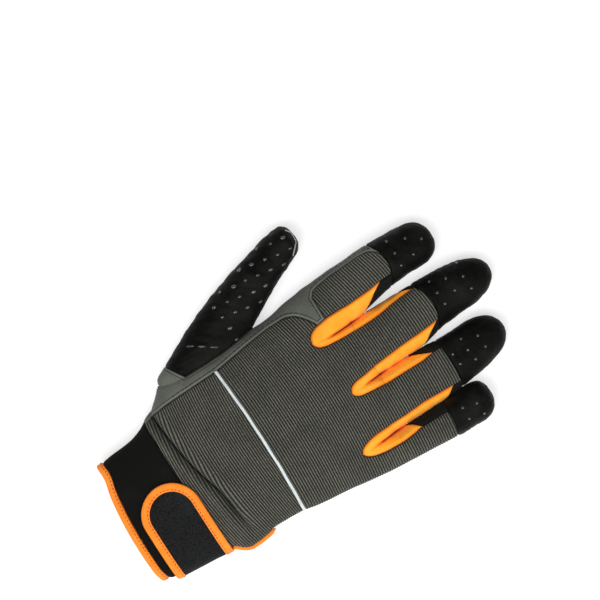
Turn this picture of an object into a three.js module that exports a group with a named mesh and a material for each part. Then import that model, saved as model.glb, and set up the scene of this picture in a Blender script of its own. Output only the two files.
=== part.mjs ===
// Winter work glove for the right hand, lying palm down. Millimetres, +Z up.
// The plan frame used in the tables: +X points to the little finger, +Y to the fingertips, and
// y = 0 is the cuff's edge. The exported model is moved so that its origin is below its middle.
import * as THREE from 'three';

// Driving dimensions
const CLOTH = 1.6; // wall of fabric and suede
const NEOPRENE = 2.8; // wall of the cuff
const HOOD = 2.0; // wall of the fingertip hoods
const SEAM = 0.34; // gap between two pieces along a seam
const EDGE_THINNING = 3; // how much thinner a wall is where its surface turns sharply
const SEAM_DRAFT = 0.45; // how much further a wall's inner edge keeps back
const PAD_THICKNESS = 1.7; // palm patches, from the surface that the glove lies on
const CUFF_END = 2.9; // where the cuff's wall stops inside its binding
const CUFF_SEAM = 39.5; // seam between the back and the cuff
const PALM_SEAM = 53; // seam between the palm and the cuff, on the palm side
const PIPING_Y = 92.7;
const PIPING_DIAMETER = 1.9;
const STRAP_LOW = 7.9;
const STRAP_HIGH = 44.9;
const STRAP_LEFT = -11;
const STRAP_LENGTH = 84;
const BINDING_WIDTH = 5;
const STRAP_THICKNESS = 1.8;
const STRAP_LIFT = 0.4; // clearance of the strap over the cuff
const FLAP_CORD = 2.6; // orange edge of the wrist slit
const TOUCH = 0.2; // half of the gap between two fingers that lie side by side
const ORIGIN_X = 22.3; // plan frame to model frame
const ORIGIN_Y = -130.2;

// A short table: a row of column names, then one row for each section
function table(columns, rows) {
  return rows.map((row) => Object.fromEntries(columns.map((name, i) => [name, row[i]])));
}

// Smooth curve through a table's column, without overshoot (monotone cubic)
function curve(rows, key, value) {
  const x = rows.map((row) => row[key]);
  const y = rows.map((row) => row[value]);
  const slope = x.slice(1).map((_, i) => (y[i + 1] - y[i]) / (x[i + 1] - x[i]));
  const tangent = x.map((_, i) => {
    if (i === 0) return slope[0];
    if (i === x.length - 1) return slope[i - 1];
    const [a, b] = [slope[i - 1], slope[i]];
    return a * b <= 0 ? 0 : (2 * a * b) / (a + b);
  });
  return (at) => {
    if (at <= x[0]) return y[0];
    if (at >= x[x.length - 1]) return y[x.length - 1];
    let i = 0;
    while (at > x[i + 1]) i += 1;
    const h = x[i + 1] - x[i];
    const t = (at - x[i]) / h;
    const t2 = t * t;
    const t3 = t2 * t;
    return (2 * t3 - 3 * t2 + 1) * y[i] + (t3 - 2 * t2 + t) * h * tangent[i]
      + (3 * t2 - 2 * t3) * y[i + 1] + (t3 - t2) * h * tangent[i + 1];
  };
}

const clamp = (v, low, high) => Math.min(high, Math.max(low, v));
const smooth = (v, low, high) => {
  const t = clamp((v - low) / (high - low), 0, 1);
  return t * t * (3 - 2 * t);
};
const mix = (a, b, t) => a + (b - a) * t;
const bell = (distance, width) => Math.exp(-((distance / width) ** 2));

// Outline of the hand and cuff in plan, the thumb left out
const HAND = table(['y', 'left', 'right'], [
  [-3, -39.5, 37], [3, -40, 39.5], [12, -40.7, 40.6], [20, -41.3, 41.2], [28, -42.4, 41.8],
  [35, -44.6, 42.3], [38, -46.2, 42.7], [40, -48.2, 42.9], [43.8, -50, 43.2], [46, -50.6, 44.6],
  [48, -51.4, 46.4], [51, -54.2, 48.2], [54, -57.3, 48.9], [58, -60.6, 48.8], [65, -61.7, 48],
  [72, -62.3, 46.6], [78, -62.8, 46.6], [90, -63, 47.2],
  [100, -62.8, 49], [110, -62.3, 50.2], [118, -61.4, 51], [125, -60.5, 51.8], [130, -60.4, 52.6],
  [140, -61.5, 54], [150, -63.5, 55.2], [160, -64.6, 56], [170, -65.5, 56.6], [180, -66, 57.2],
  [195, -66.5, 58.5], [205, -67, 59], [212, -66.8, 59], [230, -66, 58.8], [244, -65.6, 58.6],
]);
const handLeft = curve(HAND, 'y', 'left');
const handRight = curve(HAND, 'y', 'right');

// Heights along the hand: rim is where the sides are widest
const HEIGHTS = table(['y', 'rim', 'crest', 'under'], [
  [-3, 12.5, 24.5, 2.9], [20, 12.8, 25.5, 2.9], [40, 12.3, 26.5, 2.9], [55, 11.5, 27.5, 2.4],
  [70, 10.6, 29, 2], [95, 10, 30.5, 2], [125, 10, 30.5, 2], [150, 9.6, 28, 2], [175, 9.3, 26, 2],
  [215, 9, 23, 1.6], [240, 8.6, 21, 0.9], [262, 8.2, 20, 0.8],
]);
const rim = curve(HEIGHTS, 'y', 'rim');
const crest = curve(HEIGHTS, 'y', 'crest');
const under = curve(HEIGHTS, 'y', 'under');
const SIDE_ROUNDING = 9; // width of the rounded edge beside the flat underside
const BACK_ARCH = 2.25; // superellipse exponent of the back, seen along the fingers
const FINGER_ARCH = 2.3;

// Lines where neighbouring fingers meet, and the leaves of the gussets between them
const CREASES = table(['y', 'first', 'second', 'third'], [
  [-3, -19, 2, 20], [40, -22, 2, 24], [94, -26, 2.5, 29], [130, -31, 3, 36.4], [139.5, -32.4, 3.3, 37.5],
  [149.5, -33.3, 3.5, 37], [153, -33, 3.5, 36.9], [163.4, -31.8, 3, 36.5], [173, -32, 2.7, 36.2],
  [175, -32.2, 2.6, 36.2],
]);
// leaf: where the orange leaf starts; web: where the fingers part on the palm side
const GUSSETS = [
  { line: curve(CREASES, 'y', 'first'), leaf: 148.5, web: 175 },
  { line: curve(CREASES, 'y', 'second'), leaf: 152.8, web: 173 },
  { line: curve(CREASES, 'y', 'third'), leaf: 139, web: 163.4 },
];
const WEB_BAND = 3.5; // how far below its web a black gusset starts
const WEB_ROUNDING = 14; // how far below the web the palm side starts to rise
const LEAF_EDGES = {
  firstLeft: table(['y', 'x'], [[148.5, -33.5], [149.6, -37.2], [152, -39.6], [156, -41.4], [160, -42.1],
    [165, -42.7], [172, -42.6], [178, -42.2], [186, -42.5], [192, -42.8], [200, -43.8], [212.5, -44]]),
  firstRight: table(['y', 'x'], [[148.5, -33.5], [150.3, -30.8], [153, -29.3], [158, -28.3], [170, -27.8],
    [180, -27.8], [189, -28.1], [193, -28.5], [200, -29.7], [220, -31.4]]),
  secondLeft: table(['y', 'x'], [[152.8, 3.5], [154, 0.8], [156.5, -1], [160, -1.9], [165, -2.2],
    [170, -2.7], [180, -3.6], [190, -4.7], [204, -5.7], [214, -6.3], [220, -6.3]]),
  secondRight: table(['y', 'x'], [[152.8, 3.5], [154, 5.4], [157.5, 7.1], [162.4, 7.7], [170, 8.1],
    [180, 8.5], [198, 8.5], [203, 7.9], [207, 7.4], [213.5, 7.4]]),
  thirdLeft: table(['y', 'x'], [[139, 37.5], [141.5, 34.3], [145, 32.9], [150, 31.7], [155, 31.3],
    [172, 31.4], [181, 30.9], [187, 30.5], [195, 30.9], [207, 31.5], [213.5, 31.8]]),
  thirdRight: table(['y', 'x'], [[139, 37.5], [141, 39.8], [144.3, 41.5], [148.5, 42.5], [154, 43.2],
    [163.4, 43], [169, 42.5], [174, 41.8], [178, 41], [196, 41.4]]),
};

// Fingers: where the tip is and how far below it it rounds off, the hood's seam, and the side lines
// above the webs. A leaf leaves the finger's side between its from and its to, where it ends. The
// hood's seam is bowed towards the tip on the back, by bow.
const FINGERS = [
  {
    name: 'index', tip: 243.5, round: 17, square: 2.5, hood: 207, bow: 5.3, skew: 0,
    leftGusset: null, rightGusset: 0,
    right: table(['y', 'x'], [[175, -32.2], [180, -33], [186, -33.7], [195, -35.2], [205, -37.2],
      [212, -38], [220, -38.5], [244, -38.3]]),
    rightLeaf: { edge: curve(LEAF_EDGES.firstLeft, 'y', 'x'), from: 184, to: 199 },
  },
  {
    name: 'middle', tip: 262.5, round: 24, square: 2.2, hood: 216.8, bow: 5.6, skew: 0,
    leftGusset: 0, rightGusset: 1,
    left: table(['y', 'x'], [[175, -32.2], [180, -32.4], [186, -32.9], [200, -33], [215, -33], [230, -32.7],
      [245, -31.5], [262, -31.3]]),
    right: table(['y', 'x'], [[173, 2.7], [178, 2.3], [193, 1.9], [205, 1.7], [212, 0.6], [220, -1],
      [230, -2], [240, -2.5], [262, -2.6]]),
    leftLeaf: { edge: curve(LEAF_EDGES.firstRight, 'y', 'x'), from: 207, to: 215.3 },
    rightLeaf: { edge: curve(LEAF_EDGES.secondLeft, 'y', 'x'), from: 203, to: 215.3 },
  },
  {
    name: 'ring', tip: 251.2, round: 21, square: 2.2, hood: 211.6, bow: 1.6, skew: 0,
    leftGusset: 1, rightGusset: 2,
    left: table(['y', 'x'], [[173, 2.7], [178, 2.8], [193, 2.6], [205, 2.8], [215, 3], [251, 2.3]]),
    right: table(['y', 'x'], [[163.4, 36.5], [168, 36], [180, 35.8], [190, 35.4], [202, 35], [213, 34.2],
      [222, 34], [230, 33], [240, 31.3], [251, 31]]),
    leftLeaf: { edge: curve(LEAF_EDGES.secondRight, 'y', 'x'), from: 191, to: 206.3 },
    rightLeaf: { edge: curve(LEAF_EDGES.thirdLeft, 'y', 'x'), from: 199, to: 206.3 },
  },
  {
    name: 'little', tip: 223.8, round: 14, square: 2.8, hood: 195, bow: 1, skew: -1.2,
    leftGusset: 2, rightGusset: null,
    left: table(['y', 'x'], [[163.4, 36.5], [168, 36.6], [180, 36.3], [200, 36], [212, 34.9], [224, 34.9]]),
    leftLeaf: { edge: curve(LEAF_EDGES.thirdRight, 'y', 'x'), from: 171, to: 178 },
  },
];
for (const finger of FINGERS) {
  const leftAbove = finger.left && curve(finger.left, 'y', 'x');
  const rightAbove = finger.right && curve(finger.right, 'y', 'x');
  finger.leftSide = (y) => sideOf(finger.leftGusset, leftAbove, handLeft, y);
  finger.rightSide = (y) => sideOf(finger.rightGusset, rightAbove, handRight, y);
}

// A finger's side: the hand's outline, the shared crease below the web, or its own line above it
function sideOf(gusset, above, outline, y) {
  if (gusset === null) return outline(y);
  const { line, web } = GUSSETS[gusset];
  return y <= web ? line(y) : above(y);
}

// How far the fingers have parted at a crease: 0 in the palm, 1 from the web on
function parted(from, to, y) {
  const u = clamp((y - from) / (to - from), 0, 1);
  return 1 - (1 - u ** 1.6) ** 0.6;
}

// The same across the hand, between the three creases
function partedAt(x, y, below) {
  const share = GUSSETS.map(({ leaf, web }) => parted(below ? web - WEB_ROUNDING : leaf, web, y));
  const at = GUSSETS.map(({ line }) => line(y));
  if (x <= at[0]) return share[0];
  if (x >= at[2]) return share[2];
  const i = x < at[1] ? 0 : 1;
  return mix(share[i], share[i + 1], (x - at[i]) / (at[i + 1] - at[i]));
}

// Rounded profiles across a width, 1 in the middle and 0 at the sides
const arch = (xi, power) => (1 - Math.min(1, Math.abs(xi)) ** power) ** (1 / power);
const flat = (xi, halfWidth) => {
  const start = Math.max(0.3, 1 - SIDE_ROUNDING / halfWidth);
  return Math.sqrt(1 - clamp((Math.abs(xi) - start) / (1 - start), 0, 1) ** 2);
};

// Where a finger closes towards its tip: 1 along its length and 0 at the tip
function closing(finger, y) {
  const u = clamp((y - (finger.tip - finger.round)) / finger.round, 0, 1);
  return (1 - u ** finger.square) ** (1 / finger.square);
}

// A finger's middle and half width at y
function span(finger, y) {
  const left = finger.leftSide(y);
  const right = finger.rightSide(y);
  return { middle: (left + right) / 2, half: ((right - left) / 2) * closing(finger, y) };
}

// The wrist fold: a raised roll above the cuff seam and a crease over it, and the dents of worn cloth
const FOLD = table(['x', 'y'], [[-50, 47.5], [-30, 49], [-15, 51], [0, 54], [10, 57], [20, 58], [46, 60]]);
const foldLine = curve(FOLD, 'x', 'y');
const ROLL = { high: 1.5, below: 4.6, wide: 3.2 };
const CREASE = { deep: 2.6, wide: 2.1 };
const SWELL = { high: 1.2, above: 5, wide: 3.5 };
const FOLD_END = { x: 44, fade: 14 }; // where the fold runs out beside the little finger
const STRAP_COVER = { x: -6, fade: 12, from: 45, to: 49 }; // the strap holds the cloth flat below it
const DENTS = table(['x', 'y', 'wide', 'long', 'deep'], [
  [-34, 138, 9, 12, 1.4], [3, 142, 8, 12, 1.3], [37, 128, 8, 12, 1.2], [-8, 84, 40, 4, 0.7],
  [20, 72, 26, 5, 0.8], [-30, 112, 22, 6, 0.5], [30, 108, 20, 6, 0.5], [-49, 176, 12, 5, 0.7],
  [-16, 182, 11, 5, 0.7], [20, 180, 11, 5, 0.7], [50, 168, 8, 5, 0.6],
]);
function folds(x, y) {
  const line = foldLine(x);
  const besideStrap = clamp((STRAP_COVER.x - x) / STRAP_COVER.fade, 0, 1);
  const aboveStrap = clamp((y - STRAP_COVER.from) / (STRAP_COVER.to - STRAP_COVER.from), 0, 1);
  const fade = clamp((FOLD_END.x - x) / FOLD_END.fade, 0, 1) * Math.max(besideStrap, aboveStrap);
  const roll = ROLL.high * bell(y - line + ROLL.below, ROLL.wide);
  const crease = CREASE.deep * bell(y - line, CREASE.wide);
  const swell = SWELL.high * bell(y - line - SWELL.above, SWELL.wide);
  let z = fade * (roll - crease + swell);
  for (const dent of DENTS) z -= dent.deep * bell(x - dent.x, dent.wide) * bell(y - dent.y, dent.long);
  return z;
}

// Height of the back and of the underside over a plan point of one finger's strip
function backHeight(finger, x, y) {
  const left = handLeft(y);
  const right = handRight(y);
  const base = rim(y);
  const palmXi = clamp((2 * x - left - right) / (right - left), -1, 1);
  const palm = (crest(y) - base) * arch(palmXi, BACK_ARCH);
  const share = partedAt(x, y, false);
  let rise = palm;
  let edge = arch(palmXi, BACK_ARCH);
  if (share > 0) {
    const { middle, half } = span(finger, y);
    const own = half > 0 ? arch((x - middle) / half, FINGER_ARCH) : 0;
    const height = (crest(y) - base) * Math.max(0.02, closing(finger, y)) ** 0.9;
    rise = mix(palm, height * own, share);
    edge = mix(edge, own, share);
  }
  return base + rise + folds(x, y) * Math.min(1, edge * 1.4);
}
function underHeight(finger, x, y) {
  const left = handLeft(y);
  const right = handRight(y);
  const base = rim(y);
  const halfHand = (right - left) / 2;
  const palm = flat((x - (left + right) / 2) / halfHand, halfHand);
  const share = partedAt(x, y, true);
  let depth = palm;
  if (share > 0) {
    const { middle, half } = span(finger, y);
    const own = half > 0 ? flat((x - middle) / half, half) : 0;
    depth = mix(palm, own * Math.max(0.02, closing(finger, y)) ** 0.6, share);
  }
  return base - (base - under(y)) * depth;
}

// The seams of the back are slightly bowed, and so are the ribs between them
const BOW = curve(table(['y', 'bow'], [[40, 0], [60, 0.6], [92.7, 2.3], [125, 1.8], [165, 0]]), 'y', 'bow');
const TILT = curve(table(['y', 'tilt'], [[30, 0], [40, 2], [60, 2], [92.7, 0]]), 'y', 'tilt');
const BOW_MIDDLE = 4; // plan x where the bow is greatest
const BOW_HALF = 50; // and how far from there it ends
const TILT_HALF = 45; // half of the width that the tilt is given for
function bowed(x, y) {
  const bow = 1 - ((x - BOW_MIDDLE) / BOW_HALF) ** 2;
  return BOW(y) * bow + (TILT(y) * (x + TILT_HALF)) / (2 * TILT_HALF);
}

// Where the wrist slit below the little finger ends, between the back and the palm
const SLIT_END = 76.5;

// Plan seams beside the back
const SIDE_SEAM = curve(table(['y', 'x'], [
  [-3, -38], [30, -38], [39, -46], [46, -47.6], [55, -49], [80, -50], [93, -50.5], [100, -51.5], [110, -53],
  [120, -54.5], [135, -56], [142, -56], [148, -54], [152, -50.2], [155, -46], [157, -42.6],
]), 'y', 'x');
const INSERT_SEAM = curve(table(['y', 'x'], [
  [163.4, -57.5], [166, -60.5], [172, -62], [180, -63], [190, -63.5], [197, -63.9], [202, -63.4],
  [204.7, -61.8], [207, -58],
]), 'y', 'x');
const INSERT_START = 163.4;
const BACK_END = 157; // where the upper back ends beside the first leaf
function backSeam(y) {
  if (y <= BACK_END) return SIDE_SEAM(y);
  if (y >= INSERT_START) return INSERT_SEAM(y);
  return mix(SIDE_SEAM(BACK_END), INSERT_SEAM(INSERT_START), (y - BACK_END) / (INSERT_START - BACK_END));
}

// The thumb joins the hand between two seams, from THUMB_START to the thumb's crotch
const THUMB_START = 58;
const THUMB_CROTCH = 125;
const SUEDE_END = 76; // where the thumb's black cloth starts, at the hand's seams
const THUMB_SEAMS = table(['y', 'top', 'under'], [
  [58, -60.6, -60.6], [63, -58.8, -57.9], [70, -57.6, -55.6], [80, -57.2, -54.2], [100, -57.4, -54],
  [110, -58.2, -55.4], [118, -59.3, -57.6], [125, -60.5, -60.5],
]);
const THUMB_TOP_SEAM = curve(THUMB_SEAMS, 'y', 'top');
const THUMB_UNDER_SEAM = curve(THUMB_SEAMS, 'y', 'under');
// Outer side of the thumb's base for each place along the seam
const THUMB_BASE = table(['y', 'outerX', 'outerY', 'crest'], [
  [58, -60.6, 58, 10.9], [64, -64.6, 59.8, 18], [72, -67.8, 65, 20], [82, -71.2, 72.5, 21.5],
  [96, -77, 83.5, 22.5], [110, -83.6, 97.5, 23], [125, -89.8, 113, 23],
]);
const THUMB_LENGTH = table(['t', 'outerX', 'outerY', 'innerX', 'innerY', 'crest'], [
  [0, -89.8, 113, -60.5, 125, 23], [0.3, -95, 129.5, -69.2, 140, 22.5], [0.6, -99.3, 146, -76, 152.3, 22],
  [0.85, -103, 160, -80.5, 162, 21.5], [1, -103.6, 166.5, -83.2, 167.6, 21],
]);
const THUMB_TIP = { x: -94.6, y: 174.3, round: 11 };
const THUMB_RIM = 10;
const THUMB_UNDER = 2;

// A chain of plan places between two ends, finer where the surface turns down at an end
function spread(from, to, count, easeFrom, easeTo) {
  return Array.from({ length: count + 1 }, (_, i) => {
    const t = i / count;
    if (easeFrom && easeTo) return mix(from, to, (1 - Math.cos(t * Math.PI)) / 2);
    if (easeFrom) return mix(from, to, 1 - Math.cos((t * Math.PI) / 2));
    if (easeTo) return mix(from, to, Math.sin((t * Math.PI) / 2));
    return mix(from, to, t);
  });
}

// Skin: one surface of quads, each with the name of the piece that it belongs to
class Skin {
  constructor() {
    this.points = [];
    this.index = new Map();
    this.faces = [];
  }

  point(p) {
    const key = p.map((v) => Math.round(v * 200)).join();
    if (!this.index.has(key)) {
      this.index.set(key, this.points.length);
      this.points.push(p);
    }
    return this.index.get(key);
  }

  // rows of points, and a function that names the piece of the cell at a row and column
  add(rows, nameOf) {
    const ids = rows.map((row) => row.map((p) => this.point(p)));
    for (let j = 0; j + 1 < ids.length; j += 1) {
      for (let i = 0; i + 1 < ids[j].length; i += 1) {
        const corners = [ids[j][i], ids[j][i + 1], ids[j + 1][i + 1], ids[j + 1][i]];
        const name = nameOf(j, i);
        const own = corners.filter((id, k) => corners.indexOf(id) === k);
        if (own.length === 4) {
          this.face(name, [own[0], own[1], own[2]]);
          this.face(name, [own[0], own[2], own[3]]);
        } else if (own.length === 3) this.face(name, own);
      }
    }
  }

  face(name, corners) {
    if (name) this.faces.push({ name, corners });
  }

  // Outward direction at each point, weighted by the angle of the faces round it, and shorter where
  // the faces turn sharply, so that the walls that meet there keep clear of each other
  normals() {
    const sums = this.points.map(() => new THREE.Vector3());
    const angles = this.points.map(() => 0);
    for (const { corners } of this.faces) {
      const at = corners.map((id) => new THREE.Vector3(...this.points[id]));
      const normal = new THREE.Triangle(...at).getNormal(new THREE.Vector3());
      corners.forEach((id, k) => {
        const a = at[(k + 1) % 3].clone().sub(at[k]);
        const b = at[(k + 2) % 3].clone().sub(at[k]);
        sums[id].addScaledVector(normal, a.angleTo(b));
        angles[id] += a.angleTo(b);
      });
    }
    return sums.map((sum, id) => sum.setLength((sum.length() / angles[id]) ** EDGE_THINNING));
  }
}

// One piece as a closed wall: the skin's faces of that name, and the same faces moved inwards
function wall(points, normals, triangles, thickness, gap) {
  const corners = splitFans(triangles);
  const owner = [];
  corners.forEach((face, f) => face.forEach((id, k) => { owner[id] = triangles[f][k]; }));
  const edges = new Map();
  corners.forEach((face) => face.forEach((a, k) => {
    const b = face[(k + 1) % 3];
    if (edges.has(`${b},${a}`)) edges.delete(`${b},${a}`);
    else edges.set(`${a},${b}`, { a, b, third: face[(k + 2) % 3] });
  }));
  const place = owner.map((id) => new THREE.Vector3(...points[id]));
  const shift = owner.map(() => []);
  for (const { a, b, third } of edges.values()) {
    const along = place[b].clone().sub(place[a]).normalize();
    const into = place[third].clone().sub(place[a]);
    into.addScaledVector(along, -into.dot(along)).normalize();
    shift[a].push(into);
    shift[b].push(into);
  }
  const back = place.map((_, id) => {
    const [first, second] = shift[id];
    if (!first) return new THREE.Vector3();
    const sum = first.clone().add(second ?? first);
    return sum.divideScalar(Math.max(0.9, sum.lengthSq() / 2));
  });
  const outer = place.map((p, id) => p.clone().addScaledVector(back[id], gap / 2));
  const inner = place.map((p, id) => p.clone().addScaledVector(back[id], gap / 2 + SEAM_DRAFT)
    .addScaledVector(normals[owner[id]], -thickness));
  const count = outer.length;
  const faces = [];
  corners.forEach(([a, b, c]) => {
    faces.push([a, b, c]);
    faces.push([a + count, c + count, b + count]);
  });
  for (const { a, b } of edges.values()) {
    faces.push([b, a, a + count]);
    faces.push([b, a + count, b + count]);
  }
  return geometryOf([...outer, ...inner], faces);
}

// Gives each point one number for each separate fan of faces that meets there
function splitFans(triangles) {
  const around = new Map();
  triangles.forEach((face, f) => face.forEach((id) => {
    if (!around.has(id)) around.set(id, []);
    around.get(id).push(f);
  }));
  const result = triangles.map((face) => [...face]);
  let next = 0;
  for (const [id, faces] of around) {
    const left = new Set(faces);
    while (left.size) {
      const [first] = left;
      const fan = [first];
      left.delete(first);
      for (let i = 0; i < fan.length; i += 1) {
        for (const other of [...left]) {
          const shared = triangles[fan[i]].filter((v) => triangles[other].includes(v));
          if (shared.length === 2) {
            fan.push(other);
            left.delete(other);
          }
        }
      }
      for (const f of fan) result[f][triangles[f].indexOf(id)] = next;
      next += 1;
    }
  }
  return result;
}

function geometryOf(points, faces) {
  const geometry = new THREE.BufferGeometry();
  const numbers = points.flatMap((p) => p.toArray());
  geometry.setAttribute('position', new THREE.Float32BufferAttribute(numbers, 3));
  geometry.setIndex(faces.flat());
  return geometry;
}

// Rows along the hand: shared by all fingers up to the webs, then each finger's own
const HAND_ROWS = [
  CUFF_END, 11, 20, 30, CUFF_SEAM, STRAP_HIGH, 46.7, 48.6, 50.8, PALM_SEAM, 55.5, THUMB_START, 62.8, 66.5,
  71, SLIT_END, 84, PIPING_Y, 101, 109.5, 118, THUMB_CROTCH, 132, 139, 144, 148.5, 152.8, BACK_END, 160,
  INSERT_START, 169.6, 173, 175,
];
const FINGER_CELL = 6.4;
const TIP_CELLS = 4;
function rowsOf(finger) {
  const webs = [finger.leftGusset, finger.rightGusset].filter((g) => g !== null).map((g) => GUSSETS[g].web);
  const shared = HAND_ROWS.filter((y) => y <= Math.max(...webs));
  const last = shared[shared.length - 1];
  const leafEnd = (finger.leftLeaf ?? finger.rightLeaf).to;
  const own = [[last, leafEnd], [leafEnd, finger.hood]].flatMap(([from, to]) => {
    return spread(from, to, Math.round((to - from) / FINGER_CELL) || 1, false, false).slice(1);
  });
  const closingStart = finger.tip - finger.round;
  const straight = Math.max(1, Math.round((closingStart - finger.hood) / FINGER_CELL));
  const hood = spread(finger.hood, closingStart, straight, false, false).slice(1);
  const tip = spread(closingStart, finger.tip, TIP_CELLS, false, true).slice(1);
  return [...shared, ...own, ...hood, ...tip];
}

// A leaf's line between the finger's side and the back's edge
const LEAF_POINT = 1.9; // how long the leaf keeps its width before it comes to a point
function leafLine(side, leaf, y) {
  const u = clamp((y - leaf.from) / (leaf.to - leaf.from), 0, 1);
  return mix(side(y), leaf.edge(y), u ** LEAF_POINT);
}

// Plan segments of a finger's back from left to right, as [from, to, cells, eased from, eased to, piece]
function backSegments(finger, y) {
  const left = finger.leftSide(y);
  const right = finger.rightSide(y);
  const leftGusset = finger.leftGusset;
  const rightGusset = finger.rightGusset;
  const openLeft = leftGusset !== null && y > GUSSETS[leftGusset].leaf;
  const openRight = rightGusset !== null && y > GUSSETS[rightGusset].leaf;
  const segments = [];
  let start = left;
  if (leftGusset === null) {
    start = y > THUMB_START && y < THUMB_CROTCH ? THUMB_TOP_SEAM(y) : left;
    segments.push({ from: start, to: backSeam(y), cells: 2, easeFrom: true, piece: 'side' });
    start = backSeam(y);
  } else {
    const line = openLeft ? leafLine(finger.leftSide, finger.leftLeaf, y) : left;
    const edge = openLeft ? finger.leftLeaf.edge(y) : left;
    segments.push({ from: left, to: line, cells: 1, easeFrom: true, piece: 'black', gusset: leftGusset });
    segments.push({ from: line, to: edge, cells: 2, easeFrom: true, piece: 'orange', gusset: leftGusset });
    start = edge;
  }
  const edge = openRight ? finger.rightLeaf.edge(y) : right;
  const onSide = rightGusset === null;
  segments.push({ from: start, to: edge, cells: onSide ? 3 : 4, easeTo: onSide, piece: 'back' });
  if (!onSide) {
    const line = openRight ? leafLine(finger.rightSide, finger.rightLeaf, y) : right;
    segments.push({ from: edge, to: line, cells: 2, easeTo: true, piece: 'orange', gusset: rightGusset });
    segments.push({ from: line, to: right, cells: 1, easeTo: true, piece: 'black', gusset: rightGusset });
  }
  return segments;
}

// The same for the underside, from right to left
const GUSSET_UNDER = 4.6; // how far a black gusset reaches under a finger
const BACK_UNDER = 3.6; // how far the back reaches under the little finger's side
const SIDE_UNDER = 6.5; // how far the side panel reaches under the index finger's side
function underSegments(finger, y) {
  const left = finger.leftSide(y);
  const right = finger.rightSide(y);
  const segments = [];
  const reach = (gusset) => GUSSET_UNDER * clamp((y - GUSSETS[gusset].web + WEB_BAND) / 8, 0, 1);
  let start = right;
  if (finger.rightGusset === null) {
    const to = right - BACK_UNDER * clamp((y - SLIT_END) / 10, 0, 1);
    segments.push({ from: right, to, cells: 1, easeFrom: true, piece: 'back' });
    start = to;
  } else {
    const gusset = finger.rightGusset;
    start = right - reach(gusset);
    segments.push({ from: right, to: start, cells: 1, easeFrom: true, piece: 'black', gusset });
  }
  if (finger.leftGusset === null) {
    let to = left + SIDE_UNDER * clamp((y - THUMB_CROTCH) / 10, 0, 1);
    let end = left;
    if (y > THUMB_START && y <= THUMB_CROTCH) {
      to = THUMB_UNDER_SEAM(y);
      end = to;
    }
    segments.push({ from: start, to, cells: 3, piece: 'palm' });
    segments.push({ from: to, to: end, cells: 1, easeTo: true, piece: 'side' });
  } else {
    const gusset = finger.leftGusset;
    const to = left + reach(gusset);
    segments.push({ from: start, to, cells: 3, piece: 'palm' });
    segments.push({ from: to, to: left, cells: 1, easeTo: true, piece: 'black', gusset });
  }
  return segments;
}

// Which node a cell belongs to, by its segment and the y of the row below it
function backPiece(finger, segment, y) {
  if (y >= finger.hood - 0.01) return `hood_${finger.name}`;
  if (y < CUFF_SEAM - 0.01) return 'cuff';
  if (segment.piece === 'side') return 'side_panel';
  if (segment.gusset !== undefined && y >= GUSSETS[segment.gusset].leaf - 0.01) {
    return `${segment.piece}_gusset_${segment.gusset + 1}`;
  }
  if (finger.name === 'index' && y >= INSERT_START - 0.01) return 'index_back';
  if (finger.name === 'index' && y >= BACK_END - 0.01) return 'side_panel';
  return y >= PIPING_Y - 0.01 ? 'back_upper' : 'back_lower';
}
function underPiece(finger, segment, y) {
  if (y >= finger.hood - 0.01) return `hood_${finger.name}`;
  if (y < PALM_SEAM - 0.01) return 'cuff';
  if (segment.piece === 'side') return 'side_panel';
  if (segment.piece === 'back') return y >= PIPING_Y - 0.01 ? 'back_upper' : 'back_lower';
  const gusset = segment.piece === 'black' ? GUSSETS[segment.gusset] : null;
  return gusset && y >= gusset.web - WEB_BAND ? `black_gusset_${segment.gusset + 1}` : 'palm_panel';
}

// Two fingers that lie side by side keep a small gap above their web
function nudged(finger, x, y) {
  const { middle, half } = span(finger, y);
  const xi = half > 0 ? (x - middle) / half : 0;
  const gusset = xi > 0 ? finger.rightGusset : finger.leftGusset;
  if (gusset === null) return x;
  return x - Math.sign(xi) * TOUCH * clamp((y - GUSSETS[gusset].web) / 4, 0, 1) * Math.abs(xi) ** 4;
}

// Places across a finger are kept as shares of its width where the finger closes to its tip
function placeAcross(finger, x, y, seamY) {
  if (y <= seamY) return x;
  const at = span(finger, seamY);
  const now = span(finger, y);
  return now.middle + ((x - at.middle) / at.half) * now.half;
}

// The cuff's end isn't straight: how far it lies towards the fingers
const CUFF_END_LINE = curve(table(['x', 'y'], [
  [-41, 3.4], [-32, 4.2], [-20, 2], [-8, 0.6], [0, 0], [15, -0.4], [30, -0.2], [38, 1], [42, 1.8],
]), 'x', 'y');
const CUFF_END_REACH = 15; // where that shape has faded out
const cuffCurve = (x, y) => CUFF_END_LINE(x) * (1 - smooth(y, CUFF_END, CUFF_END_REACH));

// How far the ribs and the hood's seam are bowed towards a fingertip
const HOOD_BOW_REACH = 32;
function hoodBow(finger, x, y) {
  const { middle, half } = span(finger, y);
  const xi = half > 0 ? clamp((x - middle) / half, -1, 1) : 1;
  const below = smooth(y, finger.hood - HOOD_BOW_REACH, finger.hood);
  const above = smooth(y, finger.hood, finger.tip - finger.round);
  return finger.bow * (1 - xi * xi) * below * (1 - above);
}

// A point of the skin over or under a plan place; skew turns the little finger's tip
const SKEW_START = 170;
const SKEW_LENGTH = 20;
const SKEW_HALF = 14; // half width of the finger that is skewed
function skinPlace(finger, x, y, height) {
  const across = (x - span(finger, y).middle) / SKEW_HALF;
  const bend = finger.skew * clamp((y - SKEW_START) / SKEW_LENGTH, 0, 1) * across;
  const bow = height === backHeight ? hoodBow(finger, x, y) : 0;
  return [nudged(finger, x, y), y + bowed(x, y) + cuffCurve(x, y) + bend + bow, height(finger, x, y)];
}

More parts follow.
